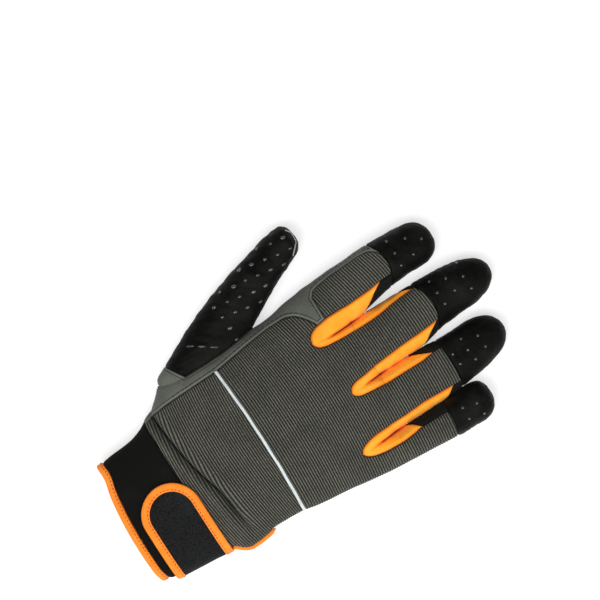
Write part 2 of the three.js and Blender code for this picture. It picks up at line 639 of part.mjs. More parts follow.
function fingerSkin(skin, finger) {
  const rows = rowsOf(finger);
  const sides = [
    { segments: backSegments, height: backHeight, piece: backPiece },
    { segments: underSegments, height: underHeight, piece: underPiece },
  ];
  for (const { segments, height, piece } of sides) {
    const grid = rows.map((y) => {
      const seamY = Math.min(y, finger.hood);
      return segments(finger, seamY).flatMap((s, k) => {
        const places = spread(s.from, s.to, s.cells, s.easeFrom, s.easeTo);
        return k ? places.slice(1) : places;
      }).map((x) => skinPlace(finger, placeAcross(finger, x, y, finger.hood), y, height));
    });
    const layout = segments(finger, rows[0]).flatMap((s) => Array(s.cells).fill(s));
    skin.add(grid, (j, i) => piece(finger, layout[i], rows[j]));
  }
}

// The thumb's skin: stations that start on the hand's seams and end at the thumb's tip
const THUMB_ACROSS = 5;
const THUMB_STATIONS = 6; // from the crotch to where the tip starts to close
const THUMB_REACH = 0.62; // how far over its rounded section the thumb's base comes before the hand's seam
function thumbBase() {
  const index = FINGERS[0];
  const columns = ['outerX', 'outerY', 'crest'];
  const [outerX, outerY, crestAt] = columns.map((name) => curve(THUMB_BASE, 'y', name));
  return HAND_ROWS.filter((y) => y >= THUMB_START && y <= THUMB_CROTCH).map((y) => {
    const along = (y - THUMB_START) / (THUMB_CROTCH - THUMB_START);
    const open = Math.max(0, Math.sin(Math.PI * along)) ** 0.5;
    return {
      y,
      outer: [outerX(y), outerY(y)],
      high: crestAt(y),
      reach: mix(1, THUMB_REACH, open),
      top: skinPlace(index, THUMB_TOP_SEAM(y), y, backHeight),
      under: skinPlace(index, THUMB_UNDER_SEAM(y), y, underHeight),
      shut: 1,
    };
  });
}
function thumbLength(crotchHeight) {
  const columns = ['outerX', 'outerY', 'innerX', 'innerY', 'crest'];
  const [outerX, outerY, innerX, innerY, crestAt] = columns.map((name) => curve(THUMB_LENGTH, 't', name));
  return Array.from({ length: THUMB_STATIONS + TIP_CELLS }, (_, i) => {
    const t = Math.min(1, (i + 1) / THUMB_STATIONS);
    const u = Math.sin((Math.max(0, i + 1 - THUMB_STATIONS) / TIP_CELLS) * (Math.PI / 2));
    const shut = Math.sqrt(Math.max(0, 1 - u * u));
    const middle = [(outerX(t) + innerX(t)) / 2, (outerY(t) + innerY(t)) / 2];
    const centre = [mix(middle[0], THUMB_TIP.x, u), mix(middle[1], THUMB_TIP.y, u)];
    const outer = [centre[0] + (outerX(t) - middle[0]) * shut, centre[1] + (outerY(t) - middle[1]) * shut];
    const inner = [centre[0] + (innerX(t) - middle[0]) * shut, centre[1] + (innerY(t) - middle[1]) * shut];
    const bow = bowed(handLeft(THUMB_CROTCH), THUMB_CROTCH) * (1 - t);
    const end = [inner[0], inner[1] + bow, mix(crotchHeight, THUMB_RIM, t)];
    const high = mix(THUMB_RIM, crestAt(t), shut);
    return { y: THUMB_CROTCH + i + 1, outer, high, reach: 1, top: end, under: end, shut };
  });
}

// A station's places from the thumb's outer side to its end, over or under it
function thumbAcross(station, over) {
  const { outer, reach, shut } = station;
  const end = over ? station.top : station.under;
  const full = station.y === THUMB_START ? 0 : 1;
  const height = over ? station.high - THUMB_RIM : (THUMB_UNDER - THUMB_RIM) * shut ** 0.6;
  const half = Math.hypot(end[0] - outer[0], end[1] - outer[1]) / 2;
  const shape = (v) => (over ? arch(2 * reach * v - 1, 2.2) : flat(2 * reach * v - 1, Math.max(6, half)));
  const last = THUMB_RIM + full * height * shape(1);
  return spread(0, 1, THUMB_ACROSS, true, reach === 1).map((v) => {
    const z = THUMB_RIM + full * height * shape(v) + (end[2] - last) * v * v;
    return [mix(outer[0], end[0], v), mix(outer[1], end[1], v), z];
  });
}
function thumbSkin(skin) {
  const base = thumbBase();
  const stations = [...base, ...thumbLength(base[base.length - 1].top[2])];
  const top = stations.map((station) => thumbAcross(station, true));
  const bottom = stations.map((station) => thumbAcross(station, false).reverse());
  const suede = (j) => stations[j].y < SUEDE_END;
  skin.add(top, (j) => (suede(j) ? 'side_panel' : 'thumb_back'));
  skin.add(bottom, (j, i) => {
    if (j === 0) return 'side_panel';
    if (i === THUMB_ACROSS - 1 && !suede(j)) return 'thumb_back';
    return stations[j].y >= THUMB_CROTCH && i < 2 ? 'thumb_inner' : 'thumb_palm';
  });
}

const skin = new Skin();
for (const finger of FINGERS) fingerSkin(skin, finger);
thumbSkin(skin);

// Surface finish of each piece: colour, roughness
const FINISH = {
  ribbed: [0x605f58, 0.9], suede: [0x696a66, 0.95], orange: [0xff9d24, 0.85], black: [0x141413, 0.8],
  rubber: [0x161616, 0.55], neoprene: [0x161616, 0.9], binding: [0xf58423, 0.8], strap: [0x1e2021, 0.85],
  white: [0xccd4d6, 0.5], ring: [0x8c8e82, 0.7], disc: [0x55575c, 0.6],
};
function material(finish) {
  const [color, roughness] = FINISH[finish];
  return new THREE.MeshStandardMaterial({ color, roughness, metalness: 0 });
}

const glove = new THREE.Group();
function addPiece(name, geometry, finish) {
  const mesh = new THREE.Mesh(geometry, material(finish));
  mesh.name = name;
  glove.add(mesh);
}

const PANELS = {
  back_upper: ['ribbed', CLOTH], back_lower: ['ribbed', CLOTH], index_back: ['ribbed', CLOTH],
  side_panel: ['suede', CLOTH], palm_panel: ['suede', CLOTH], cuff: ['neoprene', NEOPRENE],
  orange_gusset_1: ['orange', CLOTH], orange_gusset_2: ['orange', CLOTH], orange_gusset_3: ['orange', CLOTH],
  black_gusset_1: ['black', CLOTH], black_gusset_2: ['black', CLOTH], black_gusset_3: ['black', CLOTH],
  hood_index: ['rubber', HOOD], hood_middle: ['rubber', HOOD], hood_ring: ['rubber', HOOD],
  hood_little: ['rubber', HOOD], thumb_back: ['rubber', CLOTH], thumb_palm: ['suede', CLOTH],
  thumb_inner: ['black', CLOTH],
};
const skinNormals = skin.normals();
for (const [name, [finish, thickness]] of Object.entries(PANELS)) {
  const triangles = skin.faces.filter((face) => face.name === name).map((face) => face.corners);
  addPiece(name, wall(skin.points, skinNormals, triangles, thickness, SEAM), finish);
}

// A bar with a given section along a path; frames give the section's two directions at each place
function bar(path, frames, section, closed) {
  const points = path.flatMap((p, i) => section.map(([u, v]) => new THREE.Vector3(...p)
    .addScaledVector(frames[i][0], u).addScaledVector(frames[i][1], v)));
  const n = section.length;
  const faces = [];
  const last = closed ? path.length : path.length - 1;
  for (let i = 0; i < last; i += 1) {
    for (let k = 0; k < n; k += 1) {
      const a = i * n + k;
      const b = i * n + ((k + 1) % n);
      const c = ((i + 1) % path.length) * n + ((k + 1) % n);
      const d = ((i + 1) % path.length) * n + k;
      faces.push([a, b, c], [a, c, d]);
    }
  }
  if (!closed) {
    const end = (path.length - 1) * n;
    for (let k = 1; k + 1 < n; k += 1) {
      faces.push([0, k + 1, k]);
      faces.push([end, end + k, end + k + 1]);
    }
  }
  return facingOut(geometryOf(points, faces));
}

// Turns a closed geometry's faces outwards
function facingOut(geometry) {
  const at = geometry.getAttribute('position');
  const index = geometry.getIndex();
  let volume = 0;
  const [a, b, c] = [new THREE.Vector3(), new THREE.Vector3(), new THREE.Vector3()];
  for (let i = 0; i < index.count; i += 3) {
    a.fromBufferAttribute(at, index.getX(i));
    b.fromBufferAttribute(at, index.getX(i + 1));
    c.fromBufferAttribute(at, index.getX(i + 2));
    volume += a.dot(b.cross(c));
  }
  if (volume < 0) index.array.reverse();
  return geometry;
}
const round = (radius, sides) => Array.from({ length: sides }, (_, i) => {
  const angle = ((i + 0.5) * 2 * Math.PI) / sides;
  return [radius * Math.cos(angle), radius * Math.sin(angle)];
});
const Y = new THREE.Vector3(0, 1, 0);
const Z = new THREE.Vector3(0, 0, 1);

// White piping along the seam of the two back panels
const stripAt = (x, y) => FINGERS.find((finger) => x <= finger.rightSide(y)) ?? FINGERS[3];
function onBack(x, y, lift) {
  return [x, y + bowed(x, y), backHeight(stripAt(x, y), x, y) + lift];
}
const PIPING_LIFT = PIPING_DIAMETER / 2 + 0.35;
const pipingPath = spread(SIDE_SEAM(PIPING_Y) + 0.5, handRight(PIPING_Y) - 0.9, 14, false, true)
  .map((x) => onBack(x, PIPING_Y, PIPING_LIFT));
const pipingFrames = pipingPath.map(() => [Y, Z]);
addPiece('piping', bar(pipingPath, pipingFrames, round(PIPING_DIAMETER / 2, 6), false), 'white');

// The cuff's closed section at y, as places with an outward direction
function cuffPlaces(y, count) {
  const left = handLeft(y);
  const right = handRight(y);
  const at = (x, height) => [x, y + cuffCurve(x, y), height(stripAt(x, y), x, y)];
  const upper = spread(left, right, count, true, true).map((x) => at(x, backHeight));
  const lower = spread(right, left, count, true, true).slice(1, -1).map((x) => at(x, underHeight));
  const loop = [...upper, ...lower];
  return loop.map((p, i) => {
    const before = loop[(i + loop.length - 1) % loop.length];
    const after = loop[(i + 1) % loop.length];
    return { p, out: new THREE.Vector3(after[2] - before[2], 0, before[0] - after[0]).normalize().negate() };
  });
}

// Orange tape folded round the cuff's edge, in place of the last of the wall: each corner has a
// distance out from the wall's outer side and one along the hand
const TAPE = { out: 0.5, in: -NEOPRENE - 0.6, end: -1.7, start: 2.65, bevel: 0.45, round: 0.7, rim: -0.4 };
const tapeSection = [
  [TAPE.out, TAPE.end + TAPE.round], [TAPE.out, TAPE.start - TAPE.bevel], [TAPE.rim, TAPE.start],
  [-NEOPRENE, TAPE.start], [TAPE.in, TAPE.start - TAPE.bevel], [TAPE.in, TAPE.end + TAPE.round],
  [-NEOPRENE, TAPE.end], [TAPE.rim, TAPE.end],
];
const tapeLoop = cuffPlaces(0, 16);
const cuffCentre = [(handLeft(0) + handRight(0)) / 2, rim(0)];
const tapeFrames = tapeLoop.map(({ out, p }) => {
  const outward = out.x * (p[0] - cuffCentre[0]) + out.z * (p[2] - cuffCentre[1]) > 0;
  return [outward ? out : out.negate(), Y];
});
addPiece('cuff_binding', bar(tapeLoop.map(({ p }) => p), tapeFrames, tapeSection, true), 'binding');

// Closing strap over the back of the cuff, round the little-finger side and a little way under
const STRAP_SAMPLES = 120;
const strapMiddle = (STRAP_LOW + STRAP_HIGH) / 2;
const strapRadius = (STRAP_HIGH - STRAP_LOW) / 2;
const strapRun = (() => {
  const y = strapMiddle;
  const over = spread(STRAP_LEFT, handRight(y), STRAP_SAMPLES, false, true).map((x) => ({ x, side: 1 }));
  const below = spread(handRight(y), 0, STRAP_SAMPLES, true, false).slice(1).map((x) => ({ x, side: -1 }));
  const run = [...over, ...below];
  let length = 0;
  run.forEach((place, i) => {
    const height = place.side > 0 ? backHeight : underHeight;
    place.z = height(stripAt(place.x, y), place.x, y);
    if (i) length += Math.hypot(place.x - run[i - 1].x, place.z - run[i - 1].z);
    place.s = length;
    place.share = place.x / handRight(y);
  });
  return run;
})();
function strapPlace(s, y, lift) {
  const at = strapRun.findIndex((place) => place.s >= s);
  const i = clamp(at < 0 ? strapRun.length - 1 : at, 1, strapRun.length - 1);
  const [a, b] = [strapRun[i - 1], strapRun[i]];
  const t = (s - a.s) / (b.s - a.s);
  const out = new THREE.Vector3(-(b.z - a.z), 0, b.x - a.x).normalize();
  const side = b.side;
  const x = clamp(mix(a.share, b.share, t), -1, 1) * handRight(y);
  const base = side > 0 ? backHeight(stripAt(x, y), x, y) : underHeight(stripAt(x, y), x, y);
  return new THREE.Vector3(x, y, base).addScaledVector(out, lift);
}

// A flat sheet on the strap's run, as a closed wall between two lifts; rows hold pairs of s and y
function strapSheet(rows, low, high) {
  const n = rows[0].length;
  const layer = (lift) => rows.flatMap((row) => row.map(([s, y]) => strapPlace(s, y, lift)));
  const count = rows.length * n;
  const faces = [];
  for (let j = 0; j + 1 < rows.length; j += 1) {
    for (let i = 0; i + 1 < n; i += 1) {
      const [a, b, c, d] = [j * n + i, j * n + i + 1, (j + 1) * n + i + 1, (j + 1) * n + i];
      faces.push([a, b, c], [a, c, d], [a + count, c + count, b + count], [a + count, d + count, c + count]);
    }
  }
  const border = [];
  for (let i = 0; i < n; i += 1) border.push(i);
  for (let j = 1; j < rows.length; j += 1) border.push(j * n + n - 1);
  for (let i = n - 2; i >= 0; i -= 1) border.push((rows.length - 1) * n + i);
  for (let j = rows.length - 2; j > 0; j -= 1) border.push(j * n);
  border.forEach((a, k) => {
    const b = border[(k + 1) % border.length];
    faces.push([b, a, a + count], [b, a + count, b + count]);
  });
  return facingOut(geometryOf([...layer(high), ...layer(low)], faces));
}

// Outline of the strap at a distance inside its edge, from the upper end round to the lower end
const STRAP_CELLS = 13;
const STRAP_BEND = 12;
function strapOutline(inset) {
  const r = strapRadius - inset;
  const straight = spread(STRAP_LENGTH, strapRadius, STRAP_CELLS, false, false);
  const turns = spread(0, Math.PI, STRAP_BEND, false, false).slice(1, -1);
  return [
    ...straight.map((s) => [s, strapMiddle + r]),
    ...turns.map((angle) => [strapRadius - r * Math.sin(angle), strapMiddle + r * Math.cos(angle)]),
    ...straight.reverse().map((s) => [s, strapMiddle - r]),
  ];
}
const STRAP_EDGE_RISE = 0.5; // the binding stands over the strap's field
const strapTop = STRAP_LIFT + STRAP_THICKNESS;
const strapRing = [strapOutline(0), strapOutline(BINDING_WIDTH)];
addPiece('strap_binding', strapSheet(strapRing, STRAP_LIFT, strapTop + STRAP_EDGE_RISE), 'binding');
const field = strapOutline(BINDING_WIDTH + SEAM);
const fieldRows = field.slice(0, STRAP_CELLS + STRAP_BEND / 2).map(([s, high], i) => {
  const low = field[field.length - 1 - i][1];
  return spread(high, low, 3, false, false).map((y) => [s, y]);
});
addPiece('strap', strapSheet(fieldRows, STRAP_LIFT, strapTop), 'strap');

// Orange edge of the wrist slit, beside the lower back
const FLAP = { from: 43.5, to: 70.5, cells: 10, gap: 0.3, lift: 0.4 };
const flapPath = spread(FLAP.from, FLAP.to, FLAP.cells, false, false).map((y) => {
  const x = handRight(y) + FLAP_CORD / 2 + FLAP.gap;
  return [x, y + bowed(x, y), rim(y) + FLAP.lift];
});
const flapFrames = flapPath.map((p, i) => {
  const before = flapPath[Math.max(0, i - 1)];
  const after = flapPath[Math.min(flapPath.length - 1, i + 1)];
  return [new THREE.Vector3(after[1] - before[1], before[0] - after[0], 0).normalize(), Z];
});
addPiece('flap_binding', bar(flapPath, flapFrames, round(FLAP_CORD / 2, 6), false), 'binding');

// Flat patches under the palm, from closed outlines
function patch(outline, low, high, holes = []) {
  const shape = new THREE.Shape(outline);
  shape.holes = holes.map((hole) => new THREE.Path(hole));
  const geometry = new THREE.ExtrudeGeometry(shape, { depth: high - low, bevelEnabled: false });
  geometry.translate(0, 0, low);
  return geometry;
}
function smoothOutline(corners, count) {
  const points = corners.map(([x, y]) => new THREE.Vector3(x, y, 0));
  const line = new THREE.CatmullRomCurve3(points, true, 'centripetal');
  return line.getPoints(count).slice(0, -1).map((p) => new THREE.Vector2(p.x, p.y));
}
const ovalOutline = (x, y, rx, ry, count) => Array.from({ length: count }, (_, i) => {
  const angle = (i * 2 * Math.PI) / count;
  return new THREE.Vector2(x + rx * Math.cos(angle), y + ry * Math.sin(angle));
});
const PADS = {
  thenar_pad: [
    [-33, 135], [-43, 128], [-50, 116], [-51.5, 103], [-48, 88], [-41, 75], [-32, 67.5], [-22, 66.5],
    [-14, 73], [-10.5, 85], [-11.5, 98], [-15.5, 112], [-21, 124], [-26, 132],
  ],
  hypothenar_pad: [
    [-25, 138], [0, 139], [24, 138.5], [47.5, 137.5], [47.5, 128], [44.5, 108], [42, 92], [41, 76], [38, 62],
    [28, 57.5], [16, 60], [6, 71], [-3, 84], [-8, 98], [-12.5, 112], [-18, 124], [-25, 134],
  ],
  knuckle_pad: [
    [-30, 144], [0, 143.5], [25, 143], [47.5, 141.5], [49.5, 150], [50.5, 165], [50.5, 176], [46.5, 180],
    [43, 176], [41.8, 166], [37, 155], [31.5, 166], [29.5, 184], [20, 190.5], [10, 186], [8, 174],
    [3, 165.5], [-2.5, 174], [-6, 192], [-16, 200], [-25.5, 193], [-27.5, 178], [-33, 167], [-37, 158],
    [-36, 149],
  ],
  index_pad: [
    [-56.5, 132], [-46, 131], [-40.5, 138], [-40.5, 150], [-41.5, 165], [-42, 182], [-44.5, 194],
    [-50, 198.5], [-56.5, 195], [-59, 184], [-59.5, 165], [-58, 148], [-57.5, 138],
  ],
};
for (const [name, corners] of Object.entries(PADS)) {
  addPiece(name, patch(smoothOutline(corners, 30), 0, PAD_THICKNESS), 'rubber');
}

// Suede pull tab on the palm side of the cuff: a neck with a round end
const TAB = {
  x: -1.7, y: 17.5, half: 7.3, endX: 10.5, endY: 13.4, neck: 15.5, top: 50, low: 1.05, high: 2.1,
};
const TAB_TURN = { from: 0.78 * Math.PI, to: 2.22 * Math.PI, steps: 16 };
const tabEnd = spread(TAB_TURN.from, TAB_TURN.to, TAB_TURN.steps, false, false).slice(1, -1)
  .map((angle) => [TAB.x + TAB.endX * Math.cos(angle), TAB.y + TAB.endY * Math.sin(angle)]);
const tabOutline = [
  [TAB.x - TAB.half, TAB.top], [TAB.x - TAB.half, TAB.y + TAB.neck], ...tabEnd,
  [TAB.x + TAB.half, TAB.y + TAB.neck], [TAB.x + TAB.half, TAB.top],
].map(([x, y]) => new THREE.Vector2(x, y));
addPiece('pull_tab', patch(tabOutline, TAB.low, TAB.high), 'suede');

// Its oval ring, with a disc in the larger hole
const RING = { rx: 9.3, ry: 12.4, thickness: 0.75 };
const DISC = { y: TAB.y - 1.4, rx: 7, ry: 7.9, gap: 0.4, low: 0.2 };
const EYE = { x: TAB.x + 1, y: TAB.y + 9.4, r: 1.7 };
const ringHoles = [
  ovalOutline(TAB.x, DISC.y, DISC.rx + DISC.gap, DISC.ry + DISC.gap, 20),
  ovalOutline(EYE.x, EYE.y, EYE.r, EYE.r, 8),
];
const ringOutline = ovalOutline(TAB.x, TAB.y, RING.rx, RING.ry, 28);
const discOutline = ovalOutline(TAB.x, DISC.y, DISC.rx, DISC.ry, 20);
addPiece('tab_ring', patch(ringOutline, 0, RING.thickness, ringHoles), 'ring');
addPiece('tab_disc', patch(discOutline, DISC.low, RING.thickness), 'disc');

glove.position.set(ORIGIN_X, ORIGIN_Y, 0);
const part = new THREE.Group();
part.add(glove);
export default part;
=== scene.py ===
import math
import bpy
import numpy as np
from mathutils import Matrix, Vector
from mathutils.bvhtree import BVHTree
from mathutils.geometry import tessellate_polygon
from mathutils.kdtree import KDTree


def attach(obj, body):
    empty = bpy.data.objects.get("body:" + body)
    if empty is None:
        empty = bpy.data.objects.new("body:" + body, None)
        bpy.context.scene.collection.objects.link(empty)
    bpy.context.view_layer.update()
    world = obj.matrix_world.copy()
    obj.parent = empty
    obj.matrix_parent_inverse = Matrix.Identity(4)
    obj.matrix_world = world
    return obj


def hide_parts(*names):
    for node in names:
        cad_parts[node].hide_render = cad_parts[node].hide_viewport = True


# A winter work glove for the right hand, lying palm down. The shapes are worked out in millimetres
# in a plan frame, +X to the little finger, +Y to the fingertips, y = 0 at the cuff's edge, and are
# moved into the model's frame, in metres, when an object is made.
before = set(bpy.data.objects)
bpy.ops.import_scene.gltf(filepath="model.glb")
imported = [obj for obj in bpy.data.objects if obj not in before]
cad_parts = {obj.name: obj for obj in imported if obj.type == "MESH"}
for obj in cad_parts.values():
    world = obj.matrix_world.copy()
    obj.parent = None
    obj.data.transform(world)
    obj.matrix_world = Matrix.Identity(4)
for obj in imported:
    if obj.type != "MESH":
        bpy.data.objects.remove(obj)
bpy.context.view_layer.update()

ORIGIN = np.array([22.3, -130.2, 0.0])
MM = 0.001
RIB = 1.62  # pitch of the ribs that run across the back
LOWER_RIB = 1.5  # and below the piping
ROW = RIB / 6  # rows of the fine mesh
CUFF_ROW = 1.5
HOOD_ROW = 1.1


def snap(y):
    """The fine row nearest to y."""
    return round(y / ROW) * ROW


CLOTH = 1.5  # thickness of the walls
NEOPRENE = 2.8
HOOD = 1.8
CUFF_END = 2.9
CUFF_SEAM = snap(39.5)
PALM_SEAM = snap(53)
PIPING_Y = snap(92.7)
PIPING_RADIUS = 0.95
STRAP_LOW = 7.9
STRAP_HIGH = 44.9
STRAP_LEFT = -11
STRAP_LENGTH = 84
BINDING_WIDTH = 5
STRAP_THICKNESS = 1.8
STRAP_LIFT = 0.4
TOUCH = 0.2  # how far a finger's side is drawn in beyond the web


def curve(rows, column=1):
    """Smooth curve through a table's first column and another one, without overshoot."""
    x = np.array([row[0] for row in rows], float)
    y = np.array([row[column] for row in rows], float)
    h = np.diff(x)
    slope = np.diff(y) / h
    tangent = np.empty(len(x))
    tangent[0], tangent[-1] = slope[0], slope[-1]
    a, b = slope[:-1], slope[1:]
    total = np.where(a + b == 0, 1, a + b)
    tangent[1:-1] = np.where(a * b <= 0, 0, 2 * a * b / total)

    def at(value):
        value = np.clip(np.asarray(value, float), x[0], x[-1])
        i = np.clip(np.searchsorted(x, value, side="right") - 1, 0, len(h) - 1)
        t = (value - x[i]) / h[i]
        t2, t3 = t * t, t * t * t
        return ((2 * t3 - 3 * t2 + 1) * y[i] + (t3 - 2 * t2 + t) * h[i] * tangent[i]
                + (3 * t2 - 2 * t3) * y[i + 1] + (t3 - t2) * h[i] * tangent[i + 1])
    return at


def clamp(v, low, high):
    return np.minimum(high, np.maximum(low, v))


def mix(a, b, t):
    return a + (b - a) * t


def bell(distance, width):
    return np.exp(-((distance / width) ** 2))


def smooth(v, low, high):
    t = clamp((v - low) / (high - low), 0, 1)
    return t * t * (3 - 2 * t)


def unit(vectors):
    return vectors / np.maximum(1e-9, np.linalg.norm(vectors, axis=-1, keepdims=True))


def run_length(path):
    """Length of a path up to each of its places."""
    return np.concatenate([[0], np.cumsum(np.linalg.norm(np.diff(path, axis=0), axis=1))])


def at_height(plan, z):
    """Plan places as places at one height."""
    return np.concatenate([plan, np.full((len(plan), 1), z)], 1)


def two_triangles(a, b, c, d):
    """Both triangles of each quad with corners a, b, c and d."""
    quads = np.stack([a, b, c, d], -1).reshape(-1, 4)
    return np.concatenate([quads[:, [0, 1, 2]], quads[:, [0, 2, 3]]])


def face_normals(places, faces):
    """Normals of triangles, as long as twice their areas."""
    corners = places[faces]
    return np.cross(corners[:, 1] - corners[:, 0], corners[:, 2] - corners[:, 0])


def corner_sum(faces, values, count):
    """For each of count points, the sum over its triangles of their values or vectors."""
    if values.ndim == 2:
        return np.stack([corner_sum(faces, column, count) for column in values.T], -1)
    return sum(np.bincount(faces[:, k], values, count) for k in range(3))


# Outline of the hand and cuff in plan: y, left, right
HAND = [
    (-3, -39.5, 37), (3, -40, 39.5), (12, -40.7, 40.6), (20, -41.3, 41.2), (28, -42.4, 41.8),
    (35, -44.6, 42.3), (38, -46.2, 42.7), (40, -48.2, 42.9), (43.8, -50, 43.2), (46, -50.6, 44.6),
    (48, -51.4, 46.4), (51, -54.2, 48.2), (54, -57.3, 48.9), (58, -60.6, 48.8), (65, -61.7, 48),
    (72, -62.3, 46.6), (78, -62.8, 46.6), (90, -63, 47.2),
    (100, -62.8, 49), (110, -62.3, 50.2), (118, -61.4, 51), (125, -60.5, 51.8), (130, -60.4, 52.6),
    (140, -61.5, 54), (150, -63.5, 55.2), (160, -64.6, 56), (170, -65.5, 56.6), (180, -66, 57.2),
    (195, -66.5, 58.5), (205, -67, 59), (212, -66.8, 59), (230, -66, 58.8), (244, -65.6, 58.6),
]
hand_left = curve(HAND, 1)
hand_right = curve(HAND, 2)

# Heights along the hand: y, rim where the sides are widest, crest of the back, underside
HEIGHTS = [
    (-3, 12.5, 24.5, 2.9), (20, 12.8, 25.5, 2.9), (40, 12.3, 26.5, 2.9), (55, 11.5, 27.5, 2.4),
    (70, 10.6, 29, 2), (95, 10, 30.5, 2), (125, 10, 30.5, 2), (150, 9.6, 28, 2), (175, 9.3, 26, 2),
    (215, 9, 23, 1.6), (240, 8.6, 21, 0.9), (262, 8.2, 20, 0.8),
]
rim = curve(HEIGHTS, 1)
crest = curve(HEIGHTS, 2)
under = curve(HEIGHTS, 3)
SIDE_ROUNDING = 9
BACK_ARCH = 2.25
FINGER_ARCH = 2.3

# Lines where neighbouring fingers meet: y, first, second, third
CREASES = [
    (-3, -19, 2, 20), (40, -22, 2, 24), (94, -26, 2.5, 29), (130, -31, 3, 36.4), (139.5, -32.4, 3.3, 37.5),
    (149.5, -33.3, 3.5, 37), (153, -33, 3.5, 36.9), (163.4, -31.8, 3, 36.5), (173, -32, 2.7, 36.2),
    (175, -32.2, 2.6, 36.2),
]
GUSSETS = [
    {"line": curve(CREASES, 1), "leaf": snap(148.5), "web": snap(175)},
    {"line": curve(CREASES, 2), "leaf": snap(152.8), "web": snap(173)},
    {"line": curve(CREASES, 3), "leaf": snap(139), "web": snap(163.4)},
]
WEB_BAND = snap(3.5)
WEB_ROUNDING = 14

# Edges of the orange leaves on the fingers beside each crease: y, x
LEAF_EDGES = {
    "first_left": [(148.5, -33.5), (149.6, -37.2), (152, -39.6), (156, -41.4), (160, -42.1), (165, -42.7),
                   (172, -42.6), (178, -42.2), (186, -42.5), (192, -42.8), (200, -43.8), (212.5, -44)],
    "first_right": [(148.5, -33.5), (150.3, -30.8), (153, -29.3), (158, -28.3), (170, -27.8), (180, -27.8),
                    (189, -28.1), (193, -28.5), (200, -29.7), (220, -31.4)],
    "second_left": [(152.8, 3.5), (154, 0.8), (156.5, -1), (160, -1.9), (165, -2.2), (170, -2.7),
                    (180, -3.6), (190, -4.7), (204, -5.7), (214, -6.3), (220, -6.3)],
    "second_right": [(152.8, 3.5), (154, 5.4), (157.5, 7.1), (162.4, 7.7), (170, 8.1), (180, 8.5),
                     (198, 8.5), (203, 7.9), (207, 7.4), (213.5, 7.4)],
    "third_left": [(139, 37.5), (141.5, 34.3), (145, 32.9), (150, 31.7), (155, 31.3), (172, 31.4),
                   (181, 30.9), (187, 30.5), (195, 30.9), (207, 31.5), (213.5, 31.8)],
    "third_right": [(139, 37.5), (141, 39.8), (144.3, 41.5), (148.5, 42.5), (154, 43.2), (163.4, 43),
                    (169, 42.5), (174, 41.8), (178, 41), (196, 41.4)],
}


def leaf(name, start, end):
    """start and end: where the leaf leaves the finger's side, and where it ends."""
    return {"edge": curve(LEAF_EDGES[name]), "from": snap(start), "to": snap(end)}


class Finger:
    """One finger and the strip of the hand below it, between two sides.

    tip: y of the fingertip, which closes over a length and with a power. hood: y of the hood's seam
    and how far that is bowed on the back. skew: how far the seams lean. gussets: those at its left and
    right. left, right: its sides beyond the webs, y and x. leaves: the orange leaves on it.
    """

    def __init__(self, name, tip, hood, skew, gussets, left, right, leaves):
        self.name, self.skew, self.gussets, self.leaves = name, skew, gussets, leaves
        self.tip, self.round, self.power = tip
        self.hood, self.bow = snap(hood[0]), hood[1]
        self.above = [left and curve(left), right and curve(right)]

    def side(self, k, y):
        gusset = self.gussets[k]
        if gusset is None:
            return (hand_left, hand_right)[k](y)
        return np.where(y <= GUSSETS[gusset]["web"] + 1e-6, GUSSETS[gusset]["line"](y), self.above[k](y))

    def closing(self, y):
        u = clamp((y - (self.tip - self.round)) / self.round, 0, 1)
        return (1 - u ** self.power) ** (1 / self.power)

    def span(self, y):
        left, right = self.side(0, y), self.side(1, y)
        return (left + right) / 2, (right - left) / 2 * self.closing(y)


FINGERS = [
    Finger("index", (243.5, 17, 2.5), (207, 5.3), 0, (None, 0),
           None,
           [(175, -32.2), (180, -32.3), (184.5, -32.8), (188, -33.75), (195, -35.2), (205, -37.2),
            (212, -38), (220, -38.5), (244, -38.3)],
           (None, leaf("first_left", 184, 199))),
    Finger("middle", (262.5, 24, 2.2), (216.8, 5.6), 0, (0, 1),
           [(175, -32.2), (180, -32.5), (184.5, -32.98), (188, -33.1), (200, -33), (215, -33),
            (230, -32.7), (245, -31.5), (262, -31.3)],
           [(173, 2.7), (178, 2.68), (193, 2.44), (202, 2.38), (206, 2.1), (212, 0.6), (220, -1),
            (230, -2), (240, -2.5), (262, -2.6)],
           (leaf("first_right", 207, 215.3), leaf("second_left", 203, 215.3))),
    Finger("ring", (251.2, 21, 2.2), (211.6, 1.6), 0, (1, 2),
           [(173, 2.7), (178, 2.44), (193, 2.18), (202, 2.12), (206, 2.15), (209, 2.7), (215, 3), (251, 2.3)],
           [(163.4, 36.5), (168, 36.46), (180, 36.2), (190, 36.06), (202, 35.85), (213, 35.2), (222, 34),
            (230, 33), (240, 31.3), (251, 31)],
           (leaf("second_right", 191, 206.3), leaf("third_left", 199, 206.3))),
    Finger("little", (223.8, 14, 2.8), (195, 1), -1.2, (2, None),
           [(163.4, 36.5), (168, 36.2), (180, 35.94), (190, 35.65), (202, 35.3), (213, 34.75), (224, 34.85)],
           None,
           (leaf("third_right", 171, 178), None)),
]


def parted(start, end, y):
    """How far the fingers have parted at a crease: 0 in the palm, 1 from the web on."""
    u = clamp((y - start) / (end - start), 0, 1)
    return 1 - (1 - u ** 1.6) ** 0.6


def parted_at(x, y, below):
    """How far the fingers have parted at plan places, on the back or below."""
    share = [parted(g["web"] - WEB_ROUNDING if below else g["leaf"], g["web"], y) for g in GUSSETS]
    at = [g["line"](y) for g in GUSSETS]
    first = mix(share[0], share[1], clamp((x - at[0]) / (at[1] - at[0]), 0, 1))
    second = mix(share[1], share[2], clamp((x - at[1]) / (at[2] - at[1]), 0, 1))
    return np.where(x < at[1], first, second)


def arch(xi, power):
    """Height from 0 to 1 of a rounded section at xi, which is -1 and 1 at its sides."""
    return (1 - np.minimum(1, np.abs(xi)) ** power) ** (1 / power)


